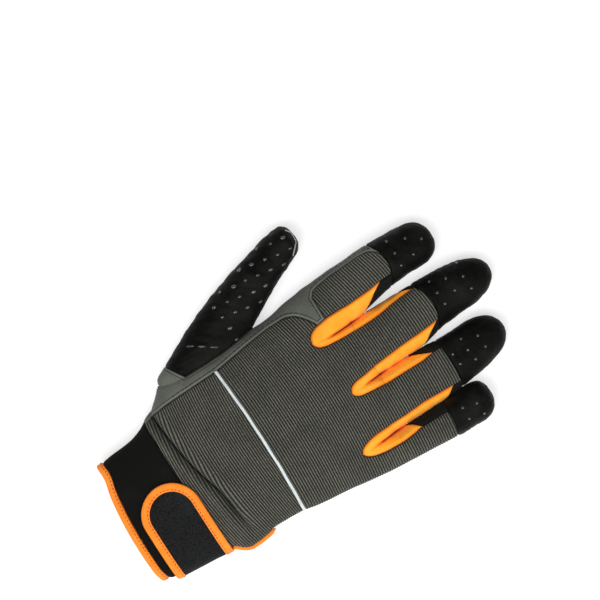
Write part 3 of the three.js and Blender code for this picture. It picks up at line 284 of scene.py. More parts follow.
def flat(xi, half_width):
    """The same for a section that is flat between its rounded sides."""
    start = np.maximum(0.3, 1 - SIDE_ROUNDING / half_width)
    return np.sqrt(1 - clamp((np.abs(xi) - start) / (1 - start), 0, 1) ** 2)


# The cuff's end isn't straight: x, how far it lies towards the fingers
cuff_end_at = curve([
    (-41, 3.4), (-32, 4.2), (-20, 2), (-8, 0.6), (0, 0), (15, -0.4), (30, -0.2), (38, 1), (42, 1.8),
])
CUFF_END_REACH = 15


def cuff_curve(x, y):
    return cuff_end_at(x) * (1 - smooth(y, CUFF_END, CUFF_END_REACH))


# The wrist fold: a raised roll above the cuff seam and a crease over it: x, y
fold_line = curve([(-50, 46.2), (-30, 47.7), (-15, 49.7), (0, 52.8), (10, 55.6), (20, 56.8), (46, 59)])
FOLD_WAVES = [(1.7, 4.6, 3.2), (-3.3, 0, 2.0), (1.2, -5, 3.5)]  # height, distance below the line, width
FOLD_END = (30, 44)  # where the fold fades out beside the little finger
# Dents of worn cloth: x, y, width, length, depth
DENTS = [
    (-34, 138, 9, 12, 1.4), (3, 142, 8, 12, 1.3), (37, 128, 8, 12, 1.2), (-8, 84, 40, 4, 0.7),
    (20, 72, 26, 5, 0.8), (-30, 112, 22, 6, 0.5), (30, 108, 20, 6, 0.5), (-49, 176, 12, 5, 0.7),
    (-16, 182, 11, 5, 0.7), (20, 180, 11, 5, 0.7), (50, 168, 8, 5, 0.6),
]


def beside_fold(x):
    """1 along the wrist fold, 0 beyond its end."""
    return 1 - clamp((x - FOLD_END[0]) / (FOLD_END[1] - FOLD_END[0]), 0, 1)


def folds(x, y):
    """How far the wrist fold and the dents move the back up or down."""
    line = fold_line(x)
    free = clamp((-6 - x) / 12, 0, 1)  # of the strap, which holds the cloth below the fold down
    low = np.where(y < 50, np.maximum(free, clamp((y - 45) / 4, 0, 1)), 1)
    z = beside_fold(x) * low * sum(high * bell(y - line + below, wide) for high, below, wide in FOLD_WAVES)
    for at_x, at_y, wide, long, deep in DENTS:
        z = z - deep * bell(x - at_x, wide) * bell(y - at_y, long)
    return z


def across_hand(x, y):
    """Where a place lies across the hand: -1 at its left side, 1 at its right."""
    left, right = hand_left(y), hand_right(y)
    return clamp((2 * x - left - right) / (right - left), -1, 1)


PINCH_WAVES = [(0.9, 2.3, 1.9), (-1.7, -2.4, 2.2)]  # distance, how far below the line, width


def pinch(x, y):
    """How far the cloth beside the wrist's crease closes over it, along the hand."""
    line = fold_line(x)
    flank = arch(across_hand(x, y), BACK_ARCH)
    shut = clamp((42 - x) / 14, 0, 1) * np.minimum(1, flank * 1.3)
    return shut * sum(far * bell(y - line + below, wide) for far, below, wide in PINCH_WAVES)


def own_section(finger, x, y):
    """Where places lie across a finger, from -1 to 1, and half its width there."""
    middle, half = finger.span(y)
    safe = np.where(half > 1e-9, half, 1)
    return np.where(half > 1e-9, (x - middle) / safe, 1.0), half


def back_height(finger, x, y):
    base = rim(y)
    palm = arch(across_hand(x, y), BACK_ARCH)
    share = parted_at(x, y, False)
    xi, _ = own_section(finger, x, y)
    own = arch(xi, FINGER_ARCH)
    closing = np.maximum(0.02, finger.closing(y)) ** 0.9
    rise = (crest(y) - base) * mix(palm, closing * own, share)
    edge = mix(palm, own, share)
    return base + rise + folds(x, y) * np.minimum(1, edge * 1.4)


def under_height(finger, x, y):
    left, right, base = hand_left(y), hand_right(y), rim(y)
    half_hand = (right - left) / 2
    palm = flat((x - (left + right) / 2) / half_hand, half_hand)
    share = parted_at(x, y, True)
    xi, half = own_section(finger, x, y)
    own = flat(xi, np.maximum(half, 1e-6)) * np.maximum(0.02, finger.closing(y)) ** 0.6
    return base - (base - under(y)) * mix(palm, own, share)


HOOD_BOW_REACH = 32


def hood_bow(finger, x, y):
    """How far the ribs and the hood's seam are bowed towards a fingertip."""
    xi = clamp(own_section(finger, x, y)[0], -1, 1)
    below = smooth(y, finger.hood - HOOD_BOW_REACH, finger.hood)
    above = smooth(y, finger.hood, finger.tip - finger.round)
    return finger.bow * (1 - xi * xi) * below * (1 - above)


# How far the rows of the hand are bowed and tilted: y, distance
bow_at = curve([(40, 0), (60, 0.6), (92.7, 2.3), (125, 1.8), (165, 0)])
tilt_at = curve([(30, 0), (40, 2), (60, 2), (92.7, 0)])


def bowed(x, y):
    """How far towards the fingertips a row lies at x."""
    return bow_at(y) * (1 - ((x - 4) / 50) ** 2) + tilt_at(y) * ((x + 45) / 90)


# Plan seams beside the back
side_seam = curve([
    (-3, -38), (30, -38), (39, -46), (46, -47.6), (55, -49), (80, -50), (93, -50.5), (100, -51.5),
    (110, -53), (120, -54.5), (135, -56), (142, -56), (148, -54), (152, -50.2), (155, -46), (157, -42.6),
])
insert_seam = curve([
    (163.4, -57.5), (166, -60.5), (172, -62), (180, -63), (190, -63.5), (197, -63.9), (202, -63.4),
    (204.7, -61.8), (207, -58),
])
INSERT_START = snap(163.4)
BACK_END = snap(157)


def back_seam(y):
    t = clamp((y - BACK_END) / (INSERT_START - BACK_END), 0, 1)
    between = mix(side_seam(BACK_END), insert_seam(INSERT_START), t)
    return np.where(y <= BACK_END, side_seam(y), np.where(y >= INSERT_START, insert_seam(y), between))


# The thumb joins the hand between two seams: y, top seam, under seam
THUMB_START = snap(58)
THUMB_CROTCH = snap(125)
SUEDE_END = snap(76)
UNDER_SUEDE_END = snap(62.8)
THUMB_SEAMS = [
    (58, -60.6, -60.6), (63, -58.8, -57.9), (70, -57.6, -55.6), (80, -57.2, -54.2), (100, -57.4, -54),
    (110, -58.2, -55.4), (118, -59.3, -57.6), (125, -60.5, -60.5),
]
thumb_top_seam = curve(THUMB_SEAMS, 1)
thumb_under_seam = curve(THUMB_SEAMS, 2)
# Outer side of the thumb's base for each place along the seam: y, outer x, outer y, crest
THUMB_BASE = [
    (58, -60.6, 58, 10.9), (64, -64.6, 59.8, 18), (72, -67.8, 65, 20), (82, -71.2, 72.5, 21.5),
    (96, -77, 83.5, 22.5), (110, -83.6, 97.5, 23), (125, -89.8, 113, 23),
]
# The rest of the thumb: t, outer x, outer y, inner x, inner y, crest
THUMB_LENGTH = [
    (0, -89.8, 113, -60.5, 125, 23), (0.3, -95, 129.5, -69.2, 140, 22.5), (0.6, -99.3, 146, -76, 152.3, 22),
    (0.85, -103, 160, -80.5, 162, 21.5), (1, -103.6, 166.5, -83.2, 167.6, 21),
]
THUMB_TIP = np.array([-94.6, 174.3])
THUMB_RIM = 10
THUMB_UNDER = 2
THUMB_REACH = 0.62


def shares(count, ease_from, ease_to):
    """Shares of a segment's width for its columns, closer together at an eased end."""
    t = np.linspace(0, 1, count + 1)
    if ease_from and ease_to:
        return (1 - np.cos(t * np.pi)) / 2
    if ease_from:
        return 1 - np.cos(t * np.pi / 2)
    if ease_to:
        return np.sin(t * np.pi / 2)
    return t * 0.35 + 0.65 * (1 - np.cos(t * np.pi)) / 2


NODES = [
    "back_upper", "back_lower", "index_back", "side_panel", "palm_panel", "cuff",
    "orange_gusset_1", "orange_gusset_2", "orange_gusset_3", "black_gusset_1", "black_gusset_2",
    "black_gusset_3", "hood_index", "hood_middle", "hood_ring", "hood_little", "thumb_back",
    "thumb_palm", "thumb_inner",
]
CODE = {name: k for k, name in enumerate(NODES)}


MERGE_STEPS = 200  # per millimetre; places that round to the same steps are one point


class Skin:
    """One surface of triangles, each with the piece that it belongs to."""

    def __init__(self):
        self.blocks, self.faces, self.labels, self.count = [], [], [], 0

    def points(self, grid):
        """Adds a grid of places with their rows, and gives their numbers."""
        ids = self.count + np.arange(grid.shape[0] * grid.shape[1]).reshape(grid.shape[:2])
        self.blocks.append(grid.reshape(-1, 4))
        self.count += ids.size
        return ids

    def cells(self, ids, labels):
        self.faces.append(two_triangles(ids[:-1, :-1], ids[:-1, 1:], ids[1:, 1:], ids[1:, :-1]))
        self.labels += [labels.ravel(), labels.ravel()]

    def fan(self, coarse, fine, steps, labels, on_left):
        """Joins a coarse column of points to a fine one that has steps[j] cells beside cell j."""
        at = 0
        faces, names = [], []
        for j, n in enumerate(steps):
            low, high = coarse[j], coarse[j + 1]
            half = (n + 1) // 2
            for k in range(n):
                tip = low if k < half else high
                pair = (fine[at + k], fine[at + k + 1])
                faces.append((tip, pair[1], pair[0]) if on_left else (tip, pair[0], pair[1]))
            middle = fine[at + half]
            faces.append((low, high, middle) if on_left else (low, middle, high))
            names += [labels[j]] * (n + 1)
            at += n
        self.faces.append(np.array(faces))
        self.labels.append(np.array(names))

    def merge(self):
        """Joins points that lie together, drops empty triangles and works out the normals."""
        data = np.concatenate(self.blocks)
        key = np.round(data[:, :3] * MERGE_STEPS).astype(np.int64) + 100000
        _, first, inverse = np.unique((key[:, 0] << 42) + (key[:, 1] << 21) + key[:, 2],
                                      return_index=True, return_inverse=True)
        self.place, self.row = data[first, :3], data[first, 3]
        faces = inverse[np.concatenate(self.faces)]
        labels = np.concatenate(self.labels)
        good = (faces[:, 0] != faces[:, 1]) & (faces[:, 1] != faces[:, 2]) & (faces[:, 2] != faces[:, 0])
        self.faces, self.labels = faces[good], labels[good]
        self.normal = unit(corner_sum(self.faces, face_normals(self.place, self.faces), len(self.place)))


def lattice(start, end, step):
    """Values from start to end at whole steps, with both ends."""
    margin = step * 0.4
    first, last = math.ceil((start + margin) / step), math.floor((end - margin) / step)
    return np.concatenate([[start], np.arange(first, last + 1) * step, [end]])


SPECIAL_ROWS = sorted([
    PALM_SEAM, THUMB_START, UNDER_SUEDE_END, SUEDE_END, PIPING_Y, THUMB_CROTCH, BACK_END, INSERT_START,
    *[row for g in GUSSETS for row in (g["web"], g["leaf"], g["web"] - WEB_BAND)],
])
TIP_ROWS = 18


def finger_rows(finger):
    """Coarse rows, and for each cell between them how many fine rows it holds."""
    cuff = lattice(CUFF_END, CUFF_SEAM, CUFF_ROW)
    stops = [CUFF_SEAM, *[y for y in SPECIAL_ROWS if y < finger.hood - 1], finger.hood]
    coarse = [cuff]
    for a, b in zip(stops, stops[1:]):
        if b - a > ROW / 2:
            coarse.append(lattice(a, b, RIB)[1:])
    start = finger.tip - finger.round
    straight = np.linspace(finger.hood, start, max(2, round((start - finger.hood) / HOOD_ROW)) + 1)[1:]
    tip = start + finger.round * np.sin(np.linspace(0, np.pi / 2, TIP_ROWS + 1))[1:]
    coarse = np.concatenate([*coarse, straight, tip])
    fine_cells = (coarse[:-1] > CUFF_SEAM - 0.01) & (coarse[1:] < finger.hood + 0.01)
    steps = np.where(fine_cells, np.round(np.diff(coarse) / ROW), 1).astype(int)
    return coarse, steps


def with_fine(coarse, steps):
    parts = [np.linspace(a, b, n + 1)[1:] for a, b, n in zip(coarse, coarse[1:], steps)]
    return np.concatenate([[coarse[0]], *parts])


SEGMENT_CELLS = {"side": 12, "black": 4, "orange": 11, "back": 22, "palm": 17, "under": 6}
GUSSET_UNDER = 4.6  # how far a piece of the back reaches under the finger or the hand
BACK_UNDER = 3.6
SIDE_UNDER = 6.5
SLIT_END = 76.5
LEAF_POINT = 1.9  # how long a leaf keeps its width before it comes to a point


def leaf_line(side, edge, own, y):
    return mix(side, edge, clamp((y - own["from"]) / (own["to"] - own["from"]), 0, 1) ** LEAF_POINT)


def back_segments(finger, y):
    """(piece, gusset, from, to, shares) from left to right over the finger's back."""
    sides = [finger.side(0, y), finger.side(1, y)]
    lines, edges = [], []
    for k in (0, 1):
        gusset, own = finger.gussets[k], finger.leaves[k]
        if gusset is None:
            lines.append(sides[k])
            edges.append(sides[k])
            continue
        is_open = y > GUSSETS[gusset]["leaf"] + 1e-6
        edge = np.where(is_open, own["edge"](y), sides[k])
        edges.append(edge)
        lines.append(np.where(is_open, leaf_line(sides[k], edge, own, y), sides[k]))
    result = []
    n = SEGMENT_CELLS
    start = edges[0]
    if finger.gussets[0] is None:
        on_thumb = (y > THUMB_START + 1e-6) & (y < THUMB_CROTCH - 1e-6)
        left = np.where(on_thumb, thumb_top_seam(y), sides[0])
        start = back_seam(y)
        result.append(("side", None, left, start, shares(n["side"], True, True)))
    else:
        gusset = finger.gussets[0]
        result.append(("black", gusset, sides[0], lines[0], shares(n["black"], True, False)))
        result.append(("orange", gusset, lines[0], edges[0], shares(n["orange"], True, False)))
    ease_to = finger.gussets[1] is None
    result.append(("back", None, start, edges[1], shares(n["back"], False, ease_to)))
    if not ease_to:
        gusset = finger.gussets[1]
        result.append(("orange", gusset, edges[1], lines[1], shares(n["orange"], False, True)))
        result.append(("black", gusset, lines[1], sides[1], shares(n["black"], False, True)))
    return result


def under_segments(finger, y):
    """The same under the finger, from right to left."""
    left, right = finger.side(0, y), finger.side(1, y)
    n = SEGMENT_CELLS

    def reach(gusset):
        return GUSSET_UNDER * clamp((y - GUSSETS[gusset]["web"] + WEB_BAND) / 8, 0, 1)
    result = []
    if finger.gussets[1] is None:
        start = right - BACK_UNDER * clamp((y - SLIT_END) / 10, 0, 1)
        result.append(("back", None, right, start, shares(n["under"], True, False)))
    else:
        start = right - reach(finger.gussets[1])
        result.append(("black", finger.gussets[1], right, start, shares(n["under"], True, False)))
    if finger.gussets[0] is None:
        to = left + SIDE_UNDER * clamp((y - THUMB_CROTCH) / 10, 0, 1)
        on_thumb = (y > THUMB_START + 1e-6) & (y <= THUMB_CROTCH + 1e-6)
        to = np.where(on_thumb, thumb_under_seam(y), to)
        end = np.where(on_thumb, to, left)
        result.append(("palm", None, start, to, shares(n["palm"], False, False)))
        result.append(("side", None, to, end, shares(n["under"], False, True)))
    else:
        to = left + reach(finger.gussets[0])
        result.append(("palm", None, start, to, shares(n["palm"], False, False)))
        result.append(("black", finger.gussets[0], to, left, shares(n["under"], False, True)))
    return result


def back_piece(finger, kind, gusset, y):
    """The piece that a cell of a kind of segment belongs to, on the back above row y."""
    if y >= finger.hood - 0.01:
        return "hood_" + finger.name
    if y < CUFF_SEAM - 0.01:
        return "cuff"
    if kind == "side":
        return "side_panel"
    if gusset is not None and y >= GUSSETS[gusset]["leaf"] - 0.01:
        return f"{kind}_gusset_{gusset + 1}"
    if finger.name == "index" and y >= INSERT_START - 0.01:
        return "index_back"
    if finger.name == "index" and y >= BACK_END - 0.01:
        return "side_panel"
    return "back_upper" if y >= PIPING_Y - 0.01 else "back_lower"


def under_piece(finger, kind, gusset, y):
    """The same on the underside."""
    if y >= finger.hood - 0.01:
        return "hood_" + finger.name
    if y < PALM_SEAM - 0.01:
        return "cuff"
    if kind == "side":
        return "side_panel"
    if kind == "back":
        return "back_upper" if y >= PIPING_Y - 0.01 else "back_lower"
    if kind == "black" and y >= GUSSETS[gusset]["web"] - WEB_BAND - 0.01:
        return f"black_gusset_{gusset + 1}"
    return "palm_panel"


SKEW_START = 170  # the row from which a finger's seams come to lean
SKEW_REACH = 20
SKEW_WIDTH = 14


def skin_place(finger, x, y, height):
    """Points of the skin over or under plan places, with y kept as a fourth value."""
    middle, half = finger.span(y)
    xi, _ = own_section(finger, x, y)
    moved = x
    for k, sign in ((0, -1), (1, 1)):
        gusset = finger.gussets[k]
        if gusset is not None:
            push = TOUCH * clamp((y - GUSSETS[gusset]["web"]) / 4, 0, 1) * np.abs(xi) ** 4
            moved = moved - np.where(xi * sign > 0, sign * push, 0)
    bend = finger.skew * clamp((y - SKEW_START) / SKEW_REACH, 0, 1) * ((x - middle) / SKEW_WIDTH)
    if height is back_height:
        bend = bend + pinch(x, y) + hood_bow(finger, x, y)
    return np.stack([moved, y + bowed(x, y) + cuff_curve(x, y) + bend, height(finger, x, y), y], -1)


def finger_skin(skin, finger):
    """Both sides of a finger with its strip of the hand: fine rows on the back, coarse ones below."""
    coarse, steps = finger_rows(finger)
    fine = with_fine(coarse, steps)
    for over in (True, False):
        rows = fine if over else coarse
        height = back_height if over else under_height
        piece = back_piece if over else under_piece

        def places(y):
            seam_y = np.minimum(y, finger.hood)
            segments = (back_segments if over else under_segments)(finger, seam_y)
            x = [mix(a[:, None], b[:, None], share) for _, _, a, b, share in segments]
            x = np.concatenate([x[0], *[block[:, 1:] for block in x[1:]]], 1)
            at_middle, at_half = finger.span(seam_y)
            middle, half = finger.span(y)
            x = middle[:, None] + (x - at_middle[:, None]) * (half / at_half)[:, None]
            return skin_place(finger, x, np.repeat(y[:, None], x.shape[1], 1), height), segments
        grid, segments = places(rows)
        labels = np.array([[CODE[piece(finger, kind, gusset, y)] for kind, gusset, _, _, s in segments
                            for _ in range(len(s) - 1)] for y in rows[:-1]])
        if over:
            skin.cells(skin.points(grid), labels)
        else:
            inner = skin.points(grid[:, 1:-1])
            skin.cells(inner, labels[:, 1:-1])
            edges, _ = places(fine)
            right = skin.points(edges[:, :1])[:, 0]
            left = skin.points(edges[:, -1:])[:, 0]
            skin.fan(inner[:, 0], right, steps, labels[:, 0], True)
            skin.fan(inner[:, -1], left, steps, labels[:, -1], False)


THUMB_CELLS = 25
THUMB_STATIONS = 48
THUMB_TIP_STATIONS = 16
THUMB_ROWS = 50  # how many rows the thumb's length counts as, and its tip once more


def thumb_stations(y):
    """Stations of the thumb's base at rows y: outer x, outer y, crest, reach, top end, under end."""
    index = FINGERS[0]
    outer_x, outer_y, high = (curve(THUMB_BASE, k)(y) for k in (1, 2, 3))
    along = clamp((y - THUMB_START) / (THUMB_CROTCH - THUMB_START), 0, 1)
    reach = mix(1, THUMB_REACH, np.maximum(0, np.sin(np.pi * along)) ** 0.5)
    top = skin_place(index, thumb_top_seam(y), y, back_height)
    below = skin_place(index, thumb_under_seam(y), y, under_height)
    full = smooth(y, THUMB_START, UNDER_SUEDE_END)
    return np.stack([outer_x, outer_y, high, reach, np.ones_like(y), full], -1), top, below


def thumb_length(crotch_height):
    """Stations of the thumb beyond its base, and the inner ends of their sections."""
    t = np.concatenate([np.arange(1, THUMB_STATIONS + 1) / THUMB_STATIONS, np.ones(THUMB_TIP_STATIONS)])
    u = np.concatenate([np.zeros(THUMB_STATIONS),
                        np.sin(np.arange(1, THUMB_TIP_STATIONS + 1) / THUMB_TIP_STATIONS * np.pi / 2)])
    shut = np.sqrt(np.maximum(0, 1 - u * u))
    ox, oy, ix, iy, high = (curve(THUMB_LENGTH, k)(t) for k in (1, 2, 3, 4, 5))
    middle = np.stack([(ox + ix) / 2, (oy + iy) / 2], -1)
    centre = middle + (THUMB_TIP - middle) * u[:, None]
    outer = centre + (np.stack([ox, oy], -1) - middle) * shut[:, None]
    inner = centre + (np.stack([ix, iy], -1) - middle) * shut[:, None]
    bow = bowed(hand_left(THUMB_CROTCH), THUMB_CROTCH) * (1 - t)
    row = THUMB_CROTCH + (t + u) * THUMB_ROWS
    end = np.stack([inner[:, 0], inner[:, 1] + bow, mix(crotch_height, THUMB_RIM, t), row], -1)
    one = np.ones_like(t)
    return np.stack([outer[:, 0], outer[:, 1], mix(THUMB_RIM, high, shut), one, shut, one], -1), end


def thumb_across(stations, end, over):
    """Places across the thumb at its stations, from the outer side to the end of each section."""
    outer_x, outer_y, high, reach, shut, full = (stations[:, k, None] for k in range(6))
    height = high - THUMB_RIM if over else (THUMB_UNDER - THUMB_RIM) * shut ** 0.6
    half = np.hypot(end[:, 0, None] - outer_x, end[:, 1, None] - outer_y) / 2
    t = np.linspace(0, 1, THUMB_CELLS + 1)[None, :]
    one_end, both_ends = 1 - np.cos(t * np.pi / 2), (1 - np.cos(t * np.pi)) / 2
    v = np.where(reach > 1 - 1e-6, both_ends, mix(one_end, both_ends, smooth(reach, 0.8, 1)))

    def shape(w):
        xi = 2 * reach * w - 1
        return arch(xi, 2.2) if over else flat(xi, np.maximum(6, half))
    last = THUMB_RIM + full * height * shape(1)
    z = THUMB_RIM + full * height * shape(v) + (end[:, 2, None] - last) * v * v
    x = mix(outer_x, end[:, 0, None], v)
    y = mix(outer_y, end[:, 1, None], v)
    return np.stack([x, y, z, np.repeat(end[:, 3, None], v.shape[1], 1)], -1)


THUMB_BACK_UNDER = 5  # cells of the thumb's underside that the dotted back covers
THUMB_INNER_FROM = 15  # and the cell from which the black patch does


def thumb_skin(skin):
    """The thumb's skin, from the hand's seams to its tip."""
    all_rows, all_steps = finger_rows(FINGERS[0])
    keep = (all_rows[:-1] > THUMB_START - 0.01) & (all_rows[1:] < THUMB_CROTCH + 0.01)
    coarse = np.concatenate([all_rows[:-1][keep], [THUMB_CROTCH]])
    steps = all_steps[keep]
    fine = with_fine(coarse, steps)
    for over in (True, False):
        base, top, below = thumb_stations(coarse)
        _, crotch, _ = thumb_stations(np.array([THUMB_CROTCH]))
        length, end = thumb_length(crotch[0, 2])
        ends = np.concatenate([top if over else below, end])
        grid = thumb_across(np.concatenate([base, length]), ends, over)
        y = np.concatenate([coarse, np.full(len(length), THUMB_CROTCH + 1)])
        labels = np.full((len(y) - 1, THUMB_CELLS), CODE["thumb_back" if over else "thumb_palm"])
        suede = y[:-1] < (SUEDE_END if over else UNDER_SUEDE_END) - 0.01
        if not over:
            labels[y[:-1] >= SUEDE_END - 0.01, :THUMB_BACK_UNDER] = CODE["thumb_back"]
            labels[y[:-1] >= THUMB_CROTCH - 0.01, THUMB_INNER_FROM:] = CODE["thumb_inner"]
        labels[suede] = CODE["side_panel"]
        edge = thumb_stations(fine)[1 if over else 2][:, None, :]
        every = np.concatenate([steps, np.ones(len(length), int)])
        if over:
            inner = skin.points(grid[:, :-1])
            skin.cells(inner, labels[:, :-1])
            right = skin.points(np.concatenate([edge, grid[len(coarse):, -1:]]))[:, 0]
            skin.fan(inner[:, -1], right, every, labels[:, -1], False)
        else:
            turned = grid[:, ::-1]
            inner = skin.points(turned[:, 1:])
            skin.cells(inner, labels[:, ::-1][:, 1:])
            right = skin.points(np.concatenate([edge, turned[len(coarse):, :1]]))[:, 0]
            skin.fan(inner[:, 0], right, every, labels[:, -1], True)


skin = Skin()
for finger in FINGERS:
    finger_skin(skin, finger)
thumb_skin(skin)
skin.merge()


# Materials. Object coordinates are in metres, so a noise of scale 1000 has features of a millimetre.
def rgb(red, green, blue):
    """Linear colour of an sRGB one given from 0 to 255."""
    def linear(v):
        v /= 255
        return v / 12.92 if v <= 0.04045 else ((v + 0.055) / 1.055) ** 2.4
    return (linear(red), linear(green), linear(blue), 1)


class Material:
    """A node material with short calls for the nodes that the finishes share."""

    def __init__(self, name, roughness, sheen=0.0, coat=0.0, specular=0.5):
        self.material = bpy.data.materials.new(name)
        self.material.use_nodes = True
        self.tree = self.material.node_tree
        self.shader = self.tree.nodes["Principled BSDF"]
        self.fill(self.shader, {"Roughness": roughness, "Sheen Weight": sheen, "Sheen Roughness": 0.5,
                                "Coat Weight": coat, "Specular IOR Level": specular})
        self.coordinates = self.node("ShaderNodeTexCoord").outputs["Object"]
        self.bumps = None

    def node(self, kind, **settings):
        node = self.tree.nodes.new(kind)
        for key, value in settings.items():
            setattr(node, key, value)
        return node

    def fill(self, node, values):
        """Gives sockets, by name or number, their values or links."""
        for key, value in values.items():
            if isinstance(value, bpy.types.NodeSocket):
                self.tree.links.new(value, node.inputs[key])
            else:
                node.inputs[key].default_value = value

    def math(self, operation, *values):
        node = self.node("ShaderNodeMath", operation=operation)
        self.fill(node, dict(enumerate(values)))
        return node.outputs[0]

    def times(self, a, b):
        return self.math("MULTIPLY", a, b)

    def attribute(self, name):
        return self.node("ShaderNodeAttribute", attribute_name=name).outputs["Fac"]

    def noise(self, scale, detail=2.0, rough=0.5, stretch=None):
        vector = self.coordinates
        if stretch:
            mapping = self.node("ShaderNodeMapping")
            self.fill(mapping, {"Scale": stretch, "Vector": vector})
            vector = mapping.outputs[0]
        node = self.node("ShaderNodeTexNoise")
        self.fill(node, {"Scale": scale, "Detail": detail, "Roughness": rough, "Vector": vector})
        return node.outputs["Fac"]

    def cells(self, scale):
        node = self.node("ShaderNodeTexVoronoi")
        self.fill(node, {"Scale": scale, "Vector": self.coordinates})
        return node.outputs["Distance"]

    def span(self, value, low, high, to_low=0.0, to_high=1.0):
        node = self.node("ShaderNodeMapRange")
        self.fill(node, dict(enumerate((value, low, high, to_low, to_high))))
        return node.outputs[0]

    def blend(self, a, b, share, way="MIX"):
        node = self.node("ShaderNodeMix", data_type="RGBA", blend_type=way)
        self.fill(node, {0: share, 6: a, 7: b})
        return node.outputs[2]

    def bump(self, height, distance_mm, strength):
        node = self.node("ShaderNodeBump")
        self.fill(node, {"Strength": strength, "Distance": distance_mm * MM, "Height": height})
        if self.bumps is not None:
            self.fill(node, {"Normal": self.bumps})
        self.bumps = node.outputs[0]

    def seam_shade(self, colour, reach=0.9, dark=0.25):
        """Darkens a colour towards the panel's seams, where thread and shadow collect."""
        near = self.span(self.attribute("edge"), 0.15, reach, dark, 1.0)
        return self.blend(colour, near, 1.0, "MULTIPLY")

    def finish(self, colour, roughness=None):
        self.fill(self.shader, {"Base Color": colour})
        if roughness is not None:
            self.fill(self.shader, {"Roughness": roughness})
        if self.bumps is not None:
            self.fill(self.shader, {"Normal": self.bumps})
        return self.material


TOPSTITCH = 1.9  # from a suede panel's edge


def ribbed_fabric():
    m = Material("ribbed_fabric", 0.85, sheen=0.04, specular=0.1)
    wave = m.math("COSINE", m.times(m.attribute("rib"), math.pi))
    crown = m.times(wave, wave)
    yarn = m.noise(1500, 2, 0.6, (1, 0.6, 1))
    fine = m.noise(3400, 1, 0.6)
    patch = m.noise(60, 3, 0.55)
    m.bump(crown, 0.4, 0.9)
    m.bump(yarn, 0.2, 0.8)
    m.bump(fine, 0.06, 0.6)
    light = m.blend(rgb(104, 104, 94), rgb(90, 90, 82), m.span(patch, 0.35, 0.65))
    light = m.blend(light, rgb(142, 142, 131), m.span(yarn, 0.5, 0.8, 0, 0.7))
    light = m.blend(light, rgb(62, 62, 56), m.span(yarn, 0.5, 0.25, 0, 0.6))
    # The grooves between the ribs are painted near black, a painted shade; the crests keep the cloth's
    # lighter tones.
    colour = m.blend(rgb(31, 31, 27), light, m.span(crown, 0.12, 0.75))
    # Painted shade in the wrist's crease and on the slope below it, from the crease attribute.
    colour = m.blend(colour, rgb(7, 7, 6), m.times(m.attribute("crease"), 0.9))
    return m.finish(m.seam_shade(colour))


def suede():
    m = Material("suede", 0.92, sheen=0.12, specular=0.08)
    nap = m.noise(900, 4, 0.65)
    fibres = m.noise(3200, 2, 0.7)
    brushed = m.noise(60, 3, 0.6)
    m.bump(nap, 0.12, 0.6)
    m.bump(fibres, 0.06, 0.7)
    colour = m.blend(rgb(101, 103, 96), rgb(84, 86, 80), m.span(brushed, 0.3, 0.7))
    colour = m.blend(colour, rgb(63, 64, 60), m.span(nap, 0.45, 0.8, 0, 0.7))
    edge = m.attribute("edge")
    # A lighter line on the ridge between the seam and the topstitch: a painted highlight.
    ridge_highlight = m.times(m.span(edge, 0.5, 0.9), m.span(edge, 1.7, 1.4))
    colour = m.blend(colour, rgb(122, 123, 117), m.times(ridge_highlight, 0.45))
    # A dark line along the groove under the topstitch: painted shade.
    off = m.math("ABSOLUTE", m.math("SUBTRACT", edge, TOPSTITCH))
    colour = m.blend(colour, rgb(22, 22, 20), m.span(off, 0.45, 0.2, 0, 0.6))
    return m.finish(m.seam_shade(colour, 0.7, 0.3))


def orange_fabric():
    m = Material("orange_fabric", 0.75, sheen=0.08, specular=0.15)
    knit = m.noise(2400, 1, 0.5, (1, 0.5, 1))
    soft = m.noise(90, 2, 0.5)
    m.bump(knit, 0.07, 0.5)
    m.bump(soft, 0.5, 0.4)
    colour = m.blend(rgb(255, 175, 54), rgb(255, 162, 40), m.span(soft, 0.35, 0.65))
    # Deeper orange towards the leaf's seams, where it turns in: painted shade.
    deep = m.span(m.attribute("edge"), 0.1, 1.6, 1, 0)
    colour = m.blend(colour, rgb(236, 104, 6), m.times(deep, 0.8))
    # Deep orange, then dark red, at the bottom of the slits between the fingers: painted shade.
    slit_shade = m.attribute("crease")
    colour = m.blend(colour, rgb(244, 112, 6), m.span(slit_shade, 0.05, 0.5, 0, 0.85))
    return m.finish(m.blend(colour, rgb(104, 24, 2), m.span(slit_shade, 0.62, 0.97, 0, 0.95)))


def grip_fabric():
    m = Material("grip_fabric", 0.6, sheen=0.02, specular=0.08)
    nap = m.noise(520, 4, 0.65)
    fine = m.noise(2100, 3, 0.7)
    worn = m.noise(45, 3, 0.6)
    m.bump(nap, 0.28, 0.7)
    m.bump(fine, 0.08, 0.7)
    colour = m.blend(rgb(2, 2, 1), rgb(11, 11, 9), m.span(nap, 0.35, 0.75))
    colour = m.blend(colour, rgb(27, 27, 24), m.times(m.span(worn, 0.48, 0.72), 0.7))
    return m.finish(m.seam_shade(colour, 0.6, 0.5), m.span(nap, 0.3, 0.8, 0.48, 0.72))


def neoprene():
    m = Material("neoprene", 0.85, sheen=0.02, specular=0.06)
    knit = m.noise(2200, 2, 0.6)
    worn = m.noise(50, 3, 0.5)
    m.bump(knit, 0.07, 0.5)
    colour = m.blend(rgb(10, 10, 9), rgb(21, 21, 19), knit)
    return m.finish(m.blend(colour, rgb(34, 33, 32), m.times(m.span(worn, 0.5, 0.8), 0.4)))


def binding_tape():
    m = Material("binding_tape", 0.7, sheen=0.08, specular=0.15)
    weave = m.noise(2300, 2, 0.6)
    worn = m.noise(130, 3, 0.6)
    m.bump(weave, 0.12, 0.7)
    colour = m.blend(rgb(255, 146, 46), rgb(248, 128, 30), m.span(worn, 0.3, 0.7))
    return m.finish(m.blend(colour, rgb(206, 88, 14), m.span(weave, 0.55, 0.9, 0, 0.5)))


